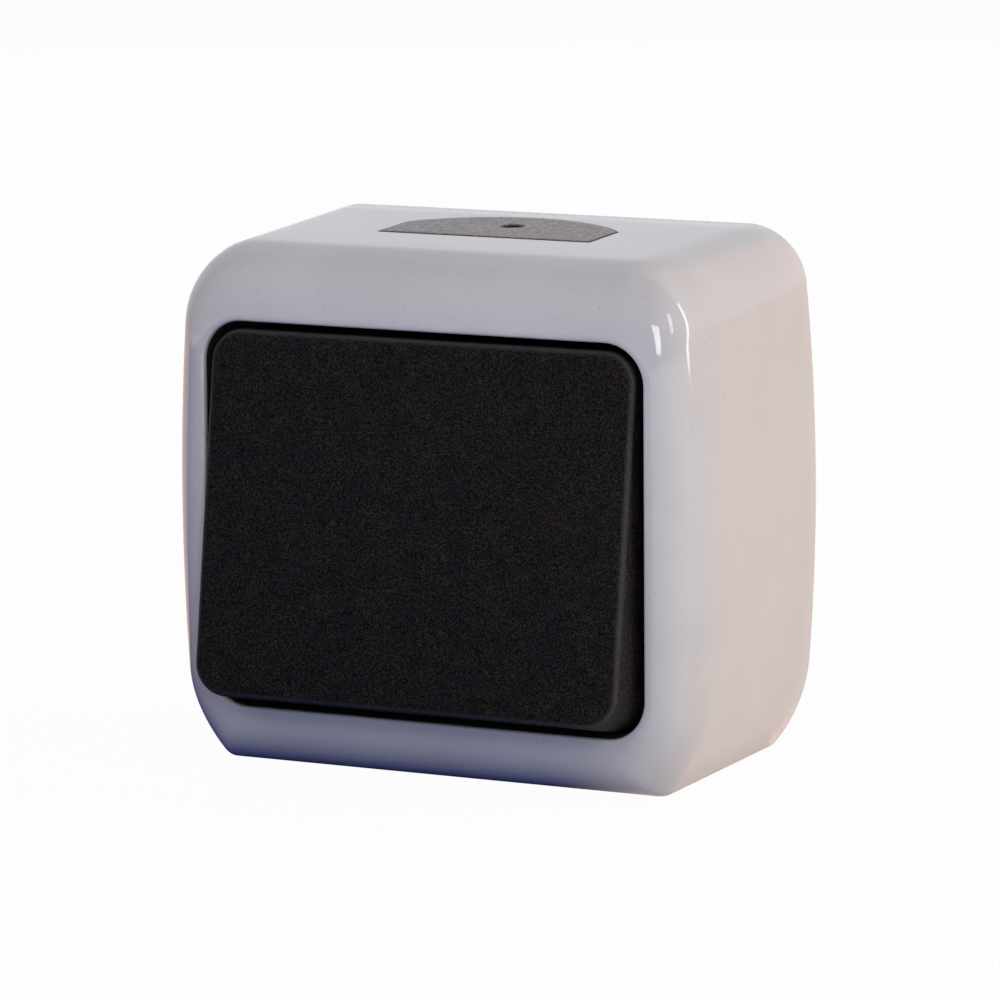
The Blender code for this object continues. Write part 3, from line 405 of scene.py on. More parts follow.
def finish_mesh(name, mesh, angle):
    """Turns the faces outwards, smooths the shading up to an angle and links the object."""
    shape = bmesh.new()
    shape.from_mesh(mesh)
    bmesh.ops.recalc_face_normals(shape, faces=shape.faces[:])
    shape.to_mesh(mesh)
    shape.free()
    mesh.shade_smooth()
    mesh.set_sharp_from_angle(angle=math.radians(angle))
    return new_object(name, mesh)


def join_or_cut(target, tools, operation="DIFFERENCE", angle=SMOOTH_ANGLE):
    """Applies a Boolean with each tool object, then deletes the tools."""
    for tool in tools:
        modifier = target.modifiers.new(tool.name, "BOOLEAN")
        modifier.operation = operation
        modifier.object = tool
    bpy.context.view_layer.update()
    depsgraph = bpy.context.evaluated_depsgraph_get()
    made = bpy.data.meshes.new_from_object(target.evaluated_get(depsgraph))
    target.modifiers.clear()
    target.data = made
    made.shade_smooth()
    made.set_sharp_from_angle(angle=math.radians(angle))
    for tool in tools:
        bpy.data.objects.remove(tool, do_unlink=True)


def full_turn(steps):
    """Angles evenly round a circle, without the last."""
    return np.linspace(0.0, 2 * math.pi, steps, endpoint=False)


def quarter(steps):
    """Angles from 0 to a quarter turn."""
    return np.linspace(0.0, math.pi / 2, steps + 1)


def rounding(radius, steps):
    """Inset and depth pairs round an edge, from the flat where the inset is largest."""
    return [(radius * (1 - math.sin(a)), radius * (1 - math.cos(a))) for a in quarter(steps)]


def circle(radius, centre, steps=CIRCLE_STEPS):
    """X, Z points round a circle."""
    angle = full_turn(steps)
    return np.stack([centre[0] + radius * np.cos(angle), centre[1] + radius * np.sin(angle)], -1)


def prism(name, ring, front, back):
    """A ring of X, Z points drawn out along Y."""
    return surface(name, np.stack([at_y(ring, front), at_y(ring, back)]))


def box(name, low, high):
    """A straight-edged block, used as a tool."""
    ring = np.array([(low[0], low[2]), (high[0], low[2]), (high[0], high[2]), (low[0], high[2])])
    return prism(name, ring, low[1], high[1])


def revolved(y, radius, centre):
    """Grid round a line along Y at centre, X, Z: radius has a row for each y and a column for
    each angle."""
    angle = full_turn(radius.shape[1])
    return np.stack([centre[0] + radius * np.cos(angle), np.broadcast_to(y[:, None], radius.shape),
                     centre[1] + radius * np.sin(angle)], axis=-1)


def turned(profile, centre, steps=CIRCLE_STEPS):
    """Grid of a profile of Y, radius pairs turned about a line along Y; centre is X, Z."""
    y, radius = np.array(profile).T
    return revolved(y, np.repeat(radius[:, None], steps, axis=1), centre)


def tilted(points, pivot, angle):
    """Points drawn about the origin, turned about X by an angle and moved to a pivot."""
    cosine, sine = math.cos(angle), math.sin(angle)
    x, y, z = points[..., 0], points[..., 1], points[..., 2]
    return np.stack([x, y * cosine - z * sine, y * sine + z * cosine], axis=-1) + pivot


# Materials

# A Mix node's sockets by place, because its numbers and its colours are both named A and B
NUMBER_A, NUMBER_B, NUMBER_OUT = 2, 3, 0
COLOUR_A, COLOUR_B, COLOUR_OUT = 6, 7, 2


def linear(code):
    """An sRGB hex colour as a linear one."""
    value = np.array([int(code[i:i + 2], 16) for i in (0, 2, 4)]) / 255
    value = np.where(value <= 0.04045, value / 12.92, ((value + 0.055) / 1.055) ** 2.4)
    return (*value.tolist(), 1.0)


def glow(code, level):
    """The light of an sRGB hex colour at a brightness, where 1 is plain white."""
    return (*(np.array(linear(code)[:3]) * level).tolist(), 1.0)


def add(tree, kind, inputs=None, **settings):
    """Adds one node with its settings; inputs are values or other nodes' outputs."""
    made = tree.nodes.new("ShaderNode" + kind)
    for name, value in settings.items():
        setattr(made, name, value)
    for name, value in (inputs or {}).items():
        if isinstance(value, bpy.types.NodeSocket):
            tree.links.new(value, made.inputs[name])
        else:
            made.inputs[name].default_value = value
    return made


def mix(tree, share, low, high, **settings):
    """Blends two colours by a share."""
    return add(tree, "Mix", {"Factor": share, COLOUR_A: low, COLOUR_B: high}, data_type="RGBA",
               **settings).outputs[COLOUR_OUT]


def calculate(tree, operation, *values):
    """One step of arithmetic; values are numbers or outputs."""
    return add(tree, "Math", dict(enumerate(values)), operation=operation).outputs[0]


def noise(tree, place, length, detail, roughness=0.5):
    """Noise with features of about length millimetres."""
    return add(tree, "TexNoise", {"Vector": place, "Scale": 1 / (length * MM), "Detail": detail,
                                  "Roughness": roughness}).outputs["Fac"]


def new_material(name, **shader_values):
    """A material with its tree, Principled shader and Object coordinates."""
    made = bpy.data.materials.new(name)
    made.use_nodes = True
    tree = made.node_tree
    shader = tree.nodes["Principled BSDF"]
    for socket, value in shader_values.items():
        shader.inputs[socket.replace("_", " ")].default_value = value
    place = add(tree, "TexCoord").outputs["Object"]
    return made, tree, shader, place


def ramp(tree, factor, low, high, start=0.3, end=0.7):
    """Maps a factor between start and end to a value or colour between low and high. Most of a
    noise's values lie between 0.3 and 0.7."""
    share = add(tree, "MapRange", {"Value": factor, "From Min": start, "From Max": end},
                interpolation_type="SMOOTHSTEP").outputs["Result"]
    if isinstance(low, tuple):
        return mix(tree, share, low, high)
    return add(tree, "Mix", {"Factor": share, NUMBER_A: low, NUMBER_B: high},
               data_type="FLOAT").outputs[NUMBER_OUT]


def join_finish(tree, shader, colour, roughness, bumps):
    """Joins a finish to its shader. Each bump is a height output with its depth in millimetres."""
    normal = None
    for height, depth in bumps:
        inputs = {"Height": height, "Distance": depth * MM, "Strength": 1.0}
        if normal:
            inputs["Normal"] = normal
        normal = add(tree, "Bump", inputs).outputs["Normal"]
    tree.links.new(colour, shader.inputs["Base Color"])
    tree.links.new(roughness, shader.inputs["Roughness"])
    tree.links.new(normal, shader.inputs["Normal"])


def moulded_plastic(name, body, fleck, roughness, grain, grain_depth, wave_depth, ior=1.53,
                    fleck_size=1.4, fleck_share=0.3, inner=None):
    """Injection-moulded plastic: pigment that isn't quite even, fine specks, a slow waviness
    that bends reflections, and the mould's own fine grain. Lengths are in millimetres. Where the
    piece's own attribute "inner" is 1, it is matte and has the colour inner, as painted shade."""
    made, tree, shader, place = new_material(name, IOR=ior)
    slow = noise(tree, place, TONE_SPACING, 2.0)
    fine = noise(tree, place, grain, 3.0, 0.6)
    specks = noise(tree, place, fleck_size, 1.0)
    wave = noise(tree, place, WAVE_SPACING, 1.0)
    tone = ramp(tree, slow, linear(body[0]), linear(body[1]))
    spot = ramp(tree, specks, 0.0, fleck_share, *SPECK_EDGE)
    colour = mix(tree, spot, tone, linear(fleck))
    dullness = ramp(tree, fine, *roughness)
    # painted shade: where "inner" is 1 the colour turns to inner, a near-black
    if inner:
        where = add(tree, "Attribute", attribute_name="inner").outputs["Fac"]
        colour = mix(tree, where, colour, linear(inner))
        matte = calculate(tree, "MULTIPLY", where, INNER_ROUGHNESS)
        dullness = calculate(tree, "MAXIMUM", dullness, matte)
    join_finish(tree, shader, colour, dullness, [(wave, wave_depth), (fine, grain_depth)])
    return made


def rocker_plastic():
    """Anthracite ABS from a spark-eroded mould: a fine matte grain that breaks the light into
    soft grey and bluish sparkle, with a paler grey painted along the edge of the face as a
    highlight. The real grain is finer, and is drawn at ROCKER_GRAIN so that it shows."""
    made, tree, shader, place = new_material("anthracite_matte_abs", IOR=1.53,
                                             Specular_IOR_Level=0.1)
    grain = noise(tree, place, ROCKER_GRAIN, 3.0, 0.7)
    tint = noise(tree, place, ROCKER_TINT, 2.0)
    dark = ramp(tree, grain, linear("010101"), linear("302c2d"), 0.42, 0.66)
    cool = ramp(tree, tint, linear("fff4e8"), linear("dad9f2"), 0.4, 0.6)
    tinted = mix(tree, 1.0, dark, cool, blend_type="MULTIPLY")
    # painted highlight: the face's round edge is painted a paler grey, 6a676c
    highlight_mask = add(tree, "Attribute", attribute_name="edge").outputs["Fac"]
    highlighted = mix(tree, calculate(tree, "MULTIPLY", highlight_mask, EDGE_HIGHLIGHT), tinted, linear("6a676c"))
    dullness = ramp(tree, grain, 0.62, 0.42, 0.3, 0.75)
    join_finish(tree, shader, highlighted, dullness, [(grain, ROCKER_GRAIN_DEPTH)])
    return made


def soft_elastomer():
    """Thermoplastic elastomer: dull, slightly dusty grey with a fine speckle and no gloss. Its
    upright sides, and the pilot hole within a radius of its axis, are painted near-black as the
    shade of their gap."""
    made, tree, shader, place = new_material("matte_grey_elastomer", IOR=1.5, Sheen_Weight=0.15,
                                             Sheen_Roughness=0.6, Specular_IOR_Level=0.25)
    grain = noise(tree, place, ELASTOMER_GRAIN, 3.0, 0.7)
    speckle = ramp(tree, grain, linear("66656b"), linear("a6a4a9"), 0.36, 0.64)
    across = add(tree, "VectorMath", {0: place, 1: (1.0, 1.0, 0.0)}, operation="MULTIPLY")
    reach = add(tree, "VectorMath", {0: across.outputs["Vector"], 1: (0.0, -PILOT_DEPTH, 0.0)},
                operation="DISTANCE").outputs["Value"]
    open_hole = ramp(tree, reach, 1.0, 0.0, PILOT_RADIUS, PILOT_RADIUS + ENTRY_EDGE)
    facing = add(tree, "SeparateXYZ", {"Vector": add(tree, "NewGeometry").outputs["Normal"]})
    upright = ramp(tree, facing.outputs["Z"], 1.0, 0.0, 0.3, 0.95)
    # painted shade: the upright sides and the pilot hole turn near-black, 1c1b1d
    shade = calculate(tree, "MAXIMUM", open_hole, upright)
    shaded = mix(tree, shade, speckle, linear("1c1b1d"))
    dullness = ramp(tree, grain, 0.7, 0.88)
    join_finish(tree, shader, shaded, dullness, [(grain, ELASTOMER_GRAIN_DEPTH)])
    return made


def worked_metal(name, tones, roughness, line, squeeze=(1.0, 1.0, 1.0)):
    """A worked metal: lines left by rolling, stamping or turning, and a slow change of tone.

    Noise with features of line millimetres is squeezed along one direction, so that its cells
    draw out into fine lines."""
    made, tree, shader, place = new_material(name, Metallic=1.0)
    squeezed = add(tree, "Mapping", {"Vector": place, "Scale": squeeze}).outputs["Vector"]
    lines = noise(tree, squeezed, line, 3.0)
    tone = ramp(tree, noise(tree, place, METAL_TONE, 3.0), linear(tones[0]), linear(tones[1]))
    join_finish(tree, shader, tone, ramp(tree, lines, *roughness), [(lines, METAL_LINE_DEPTH)])
    return made


def make_materials():
    """All finishes of the switch, by the record's slot name."""
    return {
        # High-gloss moulded ABS: bright soft reflections with clear edges, light neutral grey,
        # and near-black painted shade inside
        "glossy_housing": moulded_plastic(
            "gloss_grey_moulded_abs", body=("c0bec0", "c5c3c5"),
            fleck="8f8c8c", roughness=(0.05, 0.09), grain=0.4, grain_depth=0.0008,
            wave_depth=0.004, fleck_size=0.6, fleck_share=0.35, inner="0b0b0c"),
        # Spark-eroded ABS on the wall side: nearly the same grey, but without gloss
        "matte_base": moulded_plastic(
            "matte_grey_moulded_abs", body=("b2b2b8", "b9b9be"),
            fleck="8f8e92", roughness=(0.48, 0.6), grain=0.4, grain_depth=0.02,
            wave_depth=0.01),
        # Glass-filled polyamide: satin, off-white, faintly cloudy
        "white_mechanism": moulded_plastic(
            "satin_white_polyamide", body=("e6e4dc", "ecebe4"),
            fleck="cfccc2", roughness=(0.36, 0.5), grain=0.5, grain_depth=0.01,
            wave_depth=0.01),
        # Pressed urea thermoset: hard, cream, with fine filler specks
        "thermoset_socket": moulded_plastic(
            "cream_pressed_thermoset", body=("d8d3c3", "ded9ca"),
            fleck="b8b09a", roughness=(0.3, 0.42), grain=0.35, grain_depth=0.008,
            wave_depth=0.006, ior=1.58, fleck_size=0.7, fleck_share=0.5),
        "dark_rocker": rocker_plastic(),
        "soft_membrane": soft_elastomer(),
        # Rolled brass strip: warm, with fine lines along the rolling direction
        "brass_strip": worked_metal(
            "rolled_brass", tones=("d9b36a", "c99c50"), roughness=(0.2, 0.38),
            line=0.25, squeeze=ALONG_HEIGHT),
        # Stamped copper alloy: reddish, a little darker where it has tarnished
        "copper_bridge": worked_metal(
            "stamped_copper", tones=("d08a62", "b8714c"), roughness=(0.22, 0.4),
            line=0.25, squeeze=ALONG_HEIGHT),
        # Silver alloy contact: pale, soft, with faint turning marks
        "silver_contact": worked_metal(
            "silver_contact_alloy", tones=("e6e5e0", "d2d0ca"),
            roughness=(0.18, 0.34), line=0.2, squeeze=ALONG_DEPTH),
        # Bright zinc plating on steel: slightly bluish, satin
        "zinc_plated_steel": worked_metal(
            "bright_zinc_plated_steel", tones=("c3c8cf", "b2b6bd"),
            roughness=(0.22, 0.36), line=0.3, squeeze=ALONG_DEPTH),
        # Drawn spring wire: grey steel, finely and evenly marked by the die
        "spring_steel": worked_metal(
            "drawn_spring_wire", tones=("9b9da2", "86888e"),
            roughness=(0.24, 0.36), line=0.15),
    }


SLOT_OF = {entry["node"]: entry["material_slot"] for entry in frame["record"]["subparts"]}
FINISH = make_materials()


def dress(piece, node):
    """Gives a new piece the body, the slot and the finish of the node that it replaces."""
    piece.data.materials.clear()
    piece.data.materials.append(FINISH[SLOT_OF[node]])
    body = frame["nodes"][node]["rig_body"]
    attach(piece, body)
    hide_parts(node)
    return piece


# Housing

def entry_ring(grow, arc_steps=40, front_steps=16, side_steps=4):
    """The cable entry from above, as X, Y points: a straight front, straight short sides, and
    an arc of one circle behind that passes the sides' ends and rises by ENTRY_RISE."""
    radius = (ENTRY_HALF ** 2 + ENTRY_RISE ** 2) / (2 * ENTRY_RISE)
    centre = -ENTRY_SIDE_END + ENTRY_RISE - radius
    half = ENTRY_HALF + grow
    reach = math.asin(half / (radius + grow))
    turn = np.linspace(reach, -reach, arc_steps)
    arc = np.stack([(radius + grow) * np.sin(turn), centre + (radius + grow) * np.cos(turn)], -1)
    front = -ENTRY_FRONT - grow
    line = np.linspace(-half, half, front_steps)
    side = np.linspace(front, arc[0, 1], side_steps + 2)[1:-1]
    return np.vstack([np.stack([line, np.full(front_steps, front)], -1),
                      np.stack([np.full(side_steps, half), side], -1), arc,
                      np.stack([np.full(side_steps, -half), side[::-1]], -1)])


def cover_rings():
    """The rings of the cover's section, and the number of those that lie outside. Across them
    the section runs up the side, over the front rounding to the opening's rim, round the rim,
    down the collar and back inside.

    The front rounding is a quarter ellipse from outline to rim: a ring is the blend
    cos(t) outline + (1 - cos(t)) rim, and lies behind the front by EDGE_DEPTH * (1 - sin(t))."""
    rings = [at_y(housing_ring(SETBACK + deep, inset), -SETBACK - deep)
             for inset, deep in rounding(RIM_ROUND, EDGE_STEPS)]
    side_end = DEPTH - EDGE_DEPTH
    for depth in np.linspace(SETBACK + RIM_ROUND, side_end, WALL_STEPS)[1:]:
        rings.append(at_y(housing_ring(depth, 0.0), -depth))
    outer = housing_ring(DEPTH, 0.0)
    rim = opening_ring(OPENING_EDGE)
    for t in quarter(BEZEL_STEPS)[1:]:
        share = 1 - math.cos(t)
        flat = (1 - share) * outer + share * rim
        behind = EDGE_DEPTH * (1 - math.sin(t))
        taper = (1 - share) * behind / DEPTH
        wider = np.sign(flat[:, 0]) * SIDE_DRAFT * taper
        taller = (np.where(flat[:, 1] > 0, TOP_DRAFT, 0.0) * taper
                  * np.clip(flat[:, 1] / -BOTTOM, 0, 1))
        rings.append(at_y(flat + np.stack([wider, taller], axis=-1), -DEPTH + behind))
    for inset, deep in rounding(OPENING_EDGE, RIM_STEPS)[1:]:
        rings.append(at_y(opening_ring(inset), deep - DEPTH))
    outside = len(rings)
    inner_front = DEPTH - FRONT_WALL
    for behind in (COLLAR_SHADE - SHADE_EDGE, COLLAR_SHADE + SHADE_EDGE, COLLAR_MIDDLE,
                   COLLAR_DEPTH):
        rings.append(at_y(opening_ring(0.0), behind - DEPTH))
    rings += [at_y(opening_ring(COLLAR_WALL), COLLAR_DEPTH - DEPTH),
              at_y(opening_ring(COLLAR_WALL), -inner_front),
              at_y(housing_ring(inner_front, WALL + INNER_BEVEL), -inner_front)]
    for depth in np.linspace(side_end, SETBACK, INNER_STEPS):
        rings.append(at_y(housing_ring(depth, WALL), -depth))
    return np.stack(rings), outside


def make_cover():
    """The glossy shell over cover_rings, with two screw tabs joined on and the cable entry cut
    out. The attribute "inner" is 1 on the collar and inside, and 0 outside; where it is 1 the
    finish paints the shell near-black as shade."""
    rings, outside = cover_rings()
    cover = surface("housing_cover", rings, closed=True)
    row = np.arange(len(rings))[:, None]
    behind = rings[:, :, 1] + DEPTH
    # painted shade: marks the collar and the inside, which the finish paints near-black
    inner = np.where((row >= outside) & (row < len(rings) - 1) & (behind > COLLAR_SHADE), 1.0, 0.0)
    cover.data.attributes.new("inner", "FLOAT", "POINT").data.foreach_set("value", inner.ravel())

    tabs, holes = [], []
    for name in COVER_SCREWS:
        low, high = extent(name)
        x, z = axis_of(name)
        reach = (high[0] - low[0]) / 2 + GAP
        front = low[1] + SCREW_HEAD + GAP
        back = front + TAB_THICKNESS
        side = math.copysign(1.0, x)
        ends = sorted([x - side * reach, side * (HALF_WIDTH - WALL / 2)])
        tabs.append(box(name + "_tab", (ends[0], front, z - reach), (ends[1], back, z + reach)))
        holes.append(prism(name + "_hole", circle(SCREW_HOLE, (x, z)), front - MM, back + MM))
    ring = entry_ring(0.0)
    levels = [np.column_stack([ring, top_height(-ring[:, 1]) + rise]) for rise in (WALL, -2 * WALL)]
    holes.append(surface("entry_cut", np.stack(levels)))
    join_or_cut(cover, tabs, "UNION")
    join_or_cut(cover, holes)
    return dress(cover, "cover")


def make_membrane():
    """The soft insert: a ring round the entry's outline for each step of its section, from the
    pilot hole over the top, down the groove that grips the wall, round the lip and back."""
    outer = entry_ring(-GAP)
    pilot = np.array([0.0, -PILOT_DEPTH])
    away = outer - pilot
    away /= np.linalg.norm(away, axis=1)[:, None]
    under = WALL + GAP + ENTRY_PROUD
    lip = entry_ring(ENTRY_LIP)
    bottom = under + ENTRY_LIP_THICKNESS

    def ring(points, below):
        """Points laid under the sloping top face."""
        return np.column_stack([points, top_height(-points[:, 1]) + ENTRY_PROUD - below])

    hole = pilot + PILOT_RADIUS * away
    soft = pilot + (PILOT_RADIUS + ENTRY_EDGE) * away
    rings = [ring(hole, bottom), ring(hole, bottom / 2), ring(hole, ENTRY_EDGE), ring(soft, 0.0)]
    for share in np.linspace(0.0, 1.0, TOP_STEPS)[1:]:
        rings.append(ring(soft + share * (entry_ring(-GAP - ENTRY_EDGE) - soft), 0.0))
    for inset, deep in rounding(ENTRY_EDGE, EDGE_STEPS)[1:]:
        rings.append(ring(entry_ring(-GAP - inset), deep))
    rings += [ring(outer, under), ring(lip, under), ring(lip, bottom)]
    piece = surface("cable_entry", np.stack(rings), closed=True)
    return dress(piece, "cable_entry_membrane")


def slot_ring(width, length, centre, steps=24):
    """An upright slot with round ends."""
    turn = np.linspace(0.0, math.pi, steps)
    radius, straight = width / 2, (length - width) / 2
    upper = np.stack([radius * np.cos(turn), straight + radius * np.sin(turn)], axis=-1)
    return np.vstack([upper, -upper]) + centre


def make_base():
    """The tray on the wall: a shallow dish with a rim, posts for the screws, two wall slots
    with a bevel that wear has eased, and the shallow round marks that ejector pins leave on its
    back."""
    inset = WALL + GAP
    inner = inset + BASE_RIM_WALL
    rings = [at_y(housing_ring(0.0, inset + edge), -deep)
             for edge, deep in rounding(BASE_EDGE, EDGE_STEPS)]
    rings += [at_y(housing_ring(BASE_RIM, inset), -BASE_RIM),
              at_y(housing_ring(BASE_RIM, inner), -BASE_RIM),
              at_y(housing_ring(BASE_THICKNESS, inner), -BASE_THICKNESS)]
    base = surface("base_tray", np.stack(rings))

    posts, cuts = [], []
    socket_back = extent("mechanism_socket")[1][1]
    seats = {name: (MECHANISM_POST, socket_back + GAP) for name in MECHANISM_SCREWS}
    for name in COVER_SCREWS:
        tab_back = extent(name)[0][1] + SCREW_HEAD + GAP + TAB_THICKNESS
        seats[name] = (COVER_POST, tab_back + GAP)
    for name, (radius, front) in seats.items():
        centre = axis_of(name)
        posts.append(prism(name + "_post", circle(radius, centre), front, -BASE_THICKNESS / 2))
        cuts.append(prism(name + "_bore", circle(SCREW_HOLE, centre), front - MM,
                          extent(name)[1][1] + 2 * GAP))
    for side in (-1, 1):
        place = WALL_SLOT * (side, -side)
        cuts.append(prism("wall_slot", slot_ring(SLOT_WIDTH, SLOT_LENGTH, place),
                          -2 * BASE_THICKNESS, BASE_THICKNESS))
        bevel = [at_y(slot_ring(SLOT_WIDTH + grow, SLOT_LENGTH + grow, place), y)
                 for grow, y in SLOT_BEVEL]
        cuts.append(surface("slot_bevel", np.stack(bevel)))
    for centre in EJECTOR_MARKS:
        cuts.append(prism("ejector_mark", circle(MARK_RADIUS, centre, MARK_STEPS),
                          -MARK_DEPTH, MARK_DEPTH))
    notch_half = ENTRY_HALF + ENTRY_LIP + 2 * GAP
    cuts.append(box("entry_notch", (-notch_half, -BASE_RIM - GAP, -BOTTOM - inner - GAP),
                    (notch_half, -BASE_THICKNESS, -2 * BOTTOM)))
    join_or_cut(base, posts, "UNION")
    join_or_cut(base, cuts)
    return dress(base, "base_plate")


# Rocker

def rocker_ring(inset, y):
    """The cap's outline drawn in by inset, at a depth from the rocker's axis. On the skirt its
    heights grow by ROCKER_DRAFT times the share of the skirt's length."""
    corner = max(ROCKER_RADIUS - inset, LEAST_CORNER)
    points = outline(ROCKER_HALF_WIDTH - inset, ROCKER_HALF_HEIGHT - inset,
                     -ROCKER_HALF_HEIGHT + inset, corner, corner, ease=LEAST_CORNER / 3)
    share = np.clip((y + ROCKER_FACE - ROCKER_EDGE) / (ROCKER_SKIRT - ROCKER_EDGE), 0, 1)
    return at_y(points * (1, 1 + share * ROCKER_DRAFT / ROCKER_HALF_HEIGHT), y)


def rocker_clips():
    """The two hooks that grip the carrier's plate, each a profile of Y, Z drawn out along X."""
    root = -ROCKER_FACE + ROCKER_WALL / 2
    inside = -ROCKER_FACE + ROCKER_WALL
    under = inside + GAP + CLIP_PLATE + GAP
    hook = inside + CLIP_DEPTH
    near = CLIP_SEAT + GAP
    far = near + CLIP_WALL
    clips = []
    for side in (-1, 1):
        profile = np.array([(root, far), (hook, far), (hook, near - CLIP_TOE),
                            (under, near - CLIP_CATCH), (under, near), (root, near)])
        ends = [np.column_stack([np.full(len(profile), x), profile[:, 0], side * profile[:, 1]])
                for x in (-CLIP_HALF_WIDTH, CLIP_HALF_WIDTH)]
        clips.append(surface("clip", tilted(np.stack(ends), AXIS, ROCKER_TILT)))
    return clips


def make_rocker():
    """The cap: rings of the opening's form run from the middle of the face over a round edge,
    down the skirt, round its end and up inside. The attribute "edge" is sin(2 a) cubed on the
    round edge, where a is its angle, and sets where the finish paints a highlight."""
    end = ROCKER_SKIRT - ROCKER_FACE
    bend = quarter(ROUND_STEPS)
    rings = [rocker_ring(inset, -ROCKER_FACE) for inset in FACE_INSETS]
    rings += [rocker_ring(inset, deep - ROCKER_FACE)
              for inset, deep in rounding(ROCKER_EDGE, ROUND_STEPS)]
    skirt = np.linspace(-ROCKER_FACE + ROCKER_EDGE, end - ROCKER_LIP, SKIRT_STEPS)
    rings += [rocker_ring(0.0, y) for y in skirt[1:]]
    rings += [rocker_ring(ROCKER_LIP, end), rocker_ring(ROCKER_WALL - ROCKER_LIP, end),
              rocker_ring(ROCKER_WALL, end - ROCKER_LIP),
              rocker_ring(ROCKER_WALL, -ROCKER_FACE + ROCKER_WALL)]
    rocker = surface("rocker_cap", tilted(np.stack(rings), AXIS, ROCKER_TILT))
    bright = np.zeros(len(rings))
    bright[len(FACE_INSETS):len(FACE_INSETS) + len(bend)] = np.sin(2 * bend) ** 3
    edge = rocker.data.attributes.new("edge", "FLOAT", "POINT")
    edge.data.foreach_set("value", np.repeat(bright, len(rings[0])))
    join_or_cut(rocker, rocker_clips(), "UNION")
    return dress(rocker, "rocker")


# Fixings and contacts

def make_screw(node, shank, pitch):
    """A cheese-head screw with a driving slot. The shank's radius is its full size less the
    thread's depth times a triangle wave of length over pitch less turns."""
    low, high = extent(node)
    centre = axis_of(node)
    head = (high[0] - low[0]) / 2
    front = low[1]
    back = front + SCREW_HEAD
    profile = [(front, HEAD_CENTRE), (front, head - HEAD_ROUND)]
    profile += [(front + deep, head - inset)
                for inset, deep in rounding(HEAD_ROUND, HEAD_STEPS)[1:]]
    profile += [(back - HEAD_BEVEL, head), (back, head - HEAD_BEVEL), (back, shank)]
    plain = turned(profile, centre, SCREW_STEPS)
    y = np.arange(back + THREAD_START, high[1] - TIP_BEVEL, pitch / PITCH_STEPS)
    phase = (y[:, None] / pitch - full_turn(SCREW_STEPS) / (2 * math.pi)) % 1.0
    fade = np.clip(np.minimum(y - y[0], y[-1] - y) / pitch, 0.0, 1.0)[:, None]
    radius = shank - fade * THREAD_DEPTH * pitch * np.abs(2 * phase - 1)
    tip = turned([(high[1], shank - TIP_BEVEL), (high[1], TIP_CENTRE)], centre, SCREW_STEPS)
    grid = np.concatenate([plain, revolved(y, radius, centre), tip])
    piece = surface(node + "_fine", grid, angle=SCREW_ANGLE)
    reach = head + GAP
    slot = box(node + "_slot", (centre[0] - reach, front - GAP, centre[1] - DRIVE_HALF_WIDTH),
               (centre[0] + reach, front + DRIVE_DEPTH, centre[1] + DRIVE_HALF_WIDTH))
    join_or_cut(piece, [slot], angle=SCREW_ANGLE)
    return dress(piece, node)


def make_contacts():
    """Domed silver rivets on both sides of the switching gap. The crown falls with the square
    of the radius, to a bevelled rim. The moving pair is turned with the bridge."""
    for number, side in (("1", 1), ("2", -1)):
        low, high = extent("fixed_contact_" + number)
        radius = (high[0] - low[0]) / 2
        face = [(low[1] + CONTACT_CROWN * share ** 2, radius * share * CROWN_SHARE)
                for share in CROWN_STEPS]
        face += [(low[1] + CONTACT_EDGE, radius), (high[1], radius), (high[1], CONTACT_EDGE)]
        pad = surface("fixed_pad_" + number, turned(face, (0.0, (low[2] + high[2]) / 2)))
        dress(pad, "fixed_contact_" + number)

        top = GAP + MOVING_HEIGHT
        face = [(GAP, CONTACT_EDGE), (GAP, MOVING_RADIUS), (top - CONTACT_EDGE, MOVING_RADIUS)]
        face += [(top - CONTACT_CROWN * share ** 2, MOVING_RADIUS * share * CROWN_SHARE)
                 for share in CROWN_STEPS[::-1]]
        grid = turned(face, (0.0, side * MOVING_REACH))
        tip = surface("moving_pad_" + number, tilted(grid, BRIDGE_AXIS, BRIDGE_TILT))
        dress(tip, "moving_contact_" + number)


def make_plunger():
    """The sprung pin: a straight stem with a half-round tip and a small bevel at its tail."""
    back = extent("plunger")[1][1]
    tail = SPRING_START + SPRING_LENGTH + GAP
    tip = (back - AXIS[1] - PLUNGER_RADIUS) / math.cos(ROCKER_TILT) + PLUNGER_RADIUS
    profile = [(tail, PLUNGER_TAIL), (tail, PLUNGER_RADIUS - PLUNGER_EDGE),
               (tail + PLUNGER_EDGE, PLUNGER_RADIUS)]
    profile += [(tip - PLUNGER_RADIUS * (1 - math.sin(a)), PLUNGER_RADIUS * math.cos(a))
                for a in quarter(TIP_STEPS)[:-1]]
    piece = surface("plunger_pin_fine", tilted(turned(profile, (0.0, 0.0)), AXIS, ROCKER_TILT))
    return dress(piece, "plunger")


def make_spring():
    """Round wire carried along a helix whose pitch is even, turned with the rocker."""
    coil = PLUNGER_RADIUS - SPRING_WIRE
    rise = SPRING_LENGTH - 2 * SPRING_WIRE
    share = np.linspace(0.0, 1.0, int(SPRING_TURNS * SPRING_STEPS) + 1)[:, None]
    angle = 2 * math.pi * SPRING_TURNS * share
    zero = np.zeros_like(angle)
    outward = np.concatenate([np.cos(angle), zero, np.sin(angle)], axis=1)
    height = SPRING_START + SPRING_WIRE + rise * share
    centre = outward * coil + np.concatenate([zero, height, zero], axis=1)
    slope = rise / (2 * math.pi * SPRING_TURNS * coil)
    along = np.concatenate([-np.sin(angle), zero + slope, np.cos(angle)], axis=1)
    along /= np.linalg.norm(along, axis=1)[:, None]
    across = np.cross(along, outward)
    turn = full_turn(WIRE_STEPS)[:, None]
    grid = centre[:, None, :] + SPRING_WIRE * (outward[:, None, :] * np.cos(turn)
                                               + across[:, None, :] * np.sin(turn))
    piece = surface("plunger_coil", tilted(grid, AXIS, ROCKER_TILT), angle=WIRE_ANGLE)
    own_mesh(piece)
    return dress(piece, "plunger_spring")


